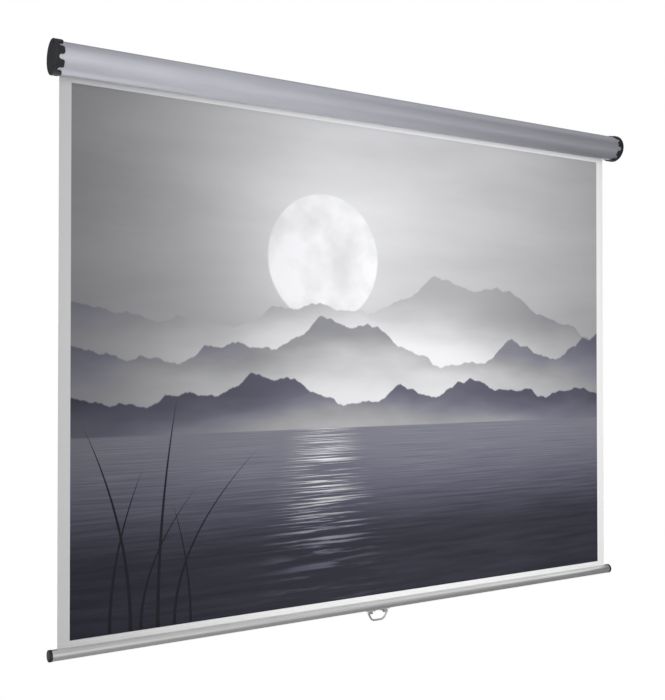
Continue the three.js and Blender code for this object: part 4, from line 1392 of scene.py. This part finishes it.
CAMERA_PLACE = (-1.3452, -1.9813, -0.6057)
CAMERA_TURN = 0.556
CAMERA_TILT = 0.013
CAMERA_LENS = 50.45
CAMERA_SENSOR = 36
FLOOR_DROP = 2.15
FLOOR_HALF = 7.0
FLOOR_GLOW = 0.76
LAMP_PLACE = (0.24, -0.8, -0.6)
LAMP_TURN = -0.2
LAMP_WIDTH = 1.6
LAMP_HEIGHT = 1.8
LAMP_POWER = 13
WORLD_LIGHT = 0.3

# Glowing cards that only shiny surfaces see, set where a room's walls, floor and ceiling would stand:
# painted shade and light in the metals' reflections
ROOM_LOW = -2.1
ROOM_TOP = 4.0
ROOM_HIGH = 7.0
ROOM_RIGHT = 8.2
ROOM_FRONT = -3.0
ROOM_BACK = 3.0
ROOM_CORNER = (4.4, -5.49)
NEAR_CLOTH = -0.0245

# Its cards: two opposite corners, the first at the left, and how light they are at the left and right
CARDS = (
    # Far cards: painted shade and light that the casing mirrors, lighter towards its left end and darker
    # towards its right
    ("card_near", (3.5, -7.5, ROOM_LOW), (*ROOM_CORNER, ROOM_HIGH), (0.8, 0.05)),
    ("card_right", (*ROOM_CORNER, ROOM_LOW), (ROOM_RIGHT, ROOM_BACK, ROOM_HIGH), (0.05, 0.05)),
    ("card_back", (-3.2, ROOM_BACK, -0.2), (ROOM_RIGHT, ROOM_BACK, ROOM_TOP), (0.05, 0.05)),
    ("card_top_left", (-4.0, ROOM_FRONT, ROOM_TOP), (1.9, ROOM_BACK, ROOM_TOP), (0.3, 0.62)),
    ("card_top_right", (1.9, ROOM_FRONT, ROOM_TOP), (ROOM_RIGHT, ROOM_BACK, ROOM_TOP), (0.62, 0.06)),
    ("card_far", (2.2, -6.5, ROOM_LOW), (ROOM_RIGHT, ROOM_FRONT, ROOM_LOW), (0.9, 0.05)),
    ("card_low_end", (-1.2, -4.5, ROOM_LOW), (0.6, 0.5, ROOM_LOW), (0.3, 0.95)),
    ("card_low_left", (0.6, ROOM_FRONT, ROOM_LOW), (2.0, ROOM_BACK, ROOM_LOW), (0.95, 0.15)),
    ("card_low", (2.0, ROOM_FRONT, ROOM_LOW), (ROOM_RIGHT, ROOM_BACK, ROOM_LOW), (0.15, 0.03)),
    # Cards close to the screen: painted shade on the bar's lower half, a painted highlight along its top,
    # and painted light and shade that the casing and bar mirror in place of the cloth
    ("card_bar", (-1.0, -0.35, -1.27), (1.4, 0.4, -1.27), (0.37, 0.2)),
    ("card_over_bar", (-0.83, -0.2, -1.12), (0.83, NEAR_CLOTH, -1.12), (0.5, 1.0)),
    ("card_casing", (-0.775, NEAR_CLOTH, -0.5), (0.775, NEAR_CLOTH, -0.045), (0.9, 0.15)),
    ("card_cloth", (-0.775, NEAR_CLOTH, -1.15), (0.775, NEAR_CLOTH, -0.5), (0.9, 0.8)),
)


def build_camera():
    data = bpy.data.cameras.new("camera")
    data.sensor_width = CAMERA_SENSOR
    data.lens = CAMERA_LENS
    camera = in_scene("camera", data)
    camera.location = CAMERA_PLACE
    camera.rotation_euler = (math.pi / 2 + CAMERA_TILT, 0, -CAMERA_TURN)
    bpy.context.scene.camera = camera


def background_share(tree):
    """1 for rays that show the background: straight from the camera, mirrored or passed through."""
    rays = tree.nodes.new("ShaderNodeLightPath").outputs
    share = rays["Is Camera Ray"]
    for label in ("Is Glossy Ray", "Is Transmission Ray"):
        node = tree.nodes.new("ShaderNodeMath")
        node.operation = "MAXIMUM"
        tree.links.new(share, node.inputs[0])
        tree.links.new(rays[label], node.inputs[1])
        share = node.outputs[0]
    return share


def build_world():
    world = bpy.data.worlds.new("studio")
    world.use_nodes = True
    tree = world.node_tree
    background = tree.nodes["Background"]
    mixed = tree.nodes.new("ShaderNodeMix")
    mixed.inputs[2].default_value = WORLD_LIGHT
    mixed.inputs[3].default_value = 1.0
    tree.links.new(background_share(tree), mixed.inputs[0])
    background.inputs["Color"].default_value = (1, 1, 1, 1)
    tree.links.new(mixed.outputs[0], background.inputs["Strength"])
    bpy.context.scene.world = world


def build_floor():
    """A plain pale floor that reads as the white background and keeps the object's shadow."""
    corners = [(-FLOOR_HALF, -FLOOR_HALF), (FLOOR_HALF, -FLOOR_HALF)]
    corners += [(FLOOR_HALF, FLOOR_HALF), (-FLOOR_HALF, FLOOR_HALF)]
    floor = piece_from("floor", [(x, y, -FLOOR_DROP) for x, y in corners], [(0, 1, 2, 3)])
    look = Look("floor_white", Roughness=0.9, Specular_IOR_Level=0.0)
    grain = look.noise((3.0,) * 3, detail=4.0)
    look.set("Base Color", look.tint(grain, grey(0.78), grey(0.82)))
    glow = look.times(background_share(look.tree), FLOOR_GLOW)
    look.set("Emission Color", grey(1.0))
    look.set("Emission Strength", glow)
    floor.data.materials.append(look.material)


def build_card(name, first, last, lights):
    """A level or upright glowing card that only mirrors see: it paints shade or light, graded from left to
    right, into the metals' reflections.
    """
    left, front, low = first
    right, back, high = last
    level = low == high
    corners = [first, (right, front if level else back, low), last, (left, back if level else front, high)]
    card = piece_from(name, corners, [(0, 1, 2, 3)])
    look = Look(name, Roughness=1.0, Specular_IOR_Level=0.0)
    look.set("Base Color", grey(0.0))
    look.set("Emission Color", grey(1.0))
    parts = look.add("ShaderNodeSeparateXYZ", {"Vector": look.place})
    look.set("Emission Strength", look.ramp(parts.outputs[0], left, right, *lights))
    card.data.materials.append(look.material)
    card.visible_camera = False
    card.visible_diffuse = False
    card.visible_shadow = False
    card.visible_transmission = False


def build_lamp():
    data = bpy.data.lights.new("key", "AREA")
    data.shape = "RECTANGLE"
    data.size = LAMP_WIDTH
    data.size_y = LAMP_HEIGHT
    data.energy = LAMP_POWER
    lamp = in_scene("key", data)
    lamp.location = LAMP_PLACE
    lamp.rotation_euler = (math.pi / 2, 0, LAMP_TURN)
    lamp.visible_camera = False
    lamp.visible_glossy = False


build_camera()
build_world()
build_floor()
for card in CARDS:
    build_card(*card)
build_lamp()
bpy.context.scene.view_settings.view_transform = "Standard"
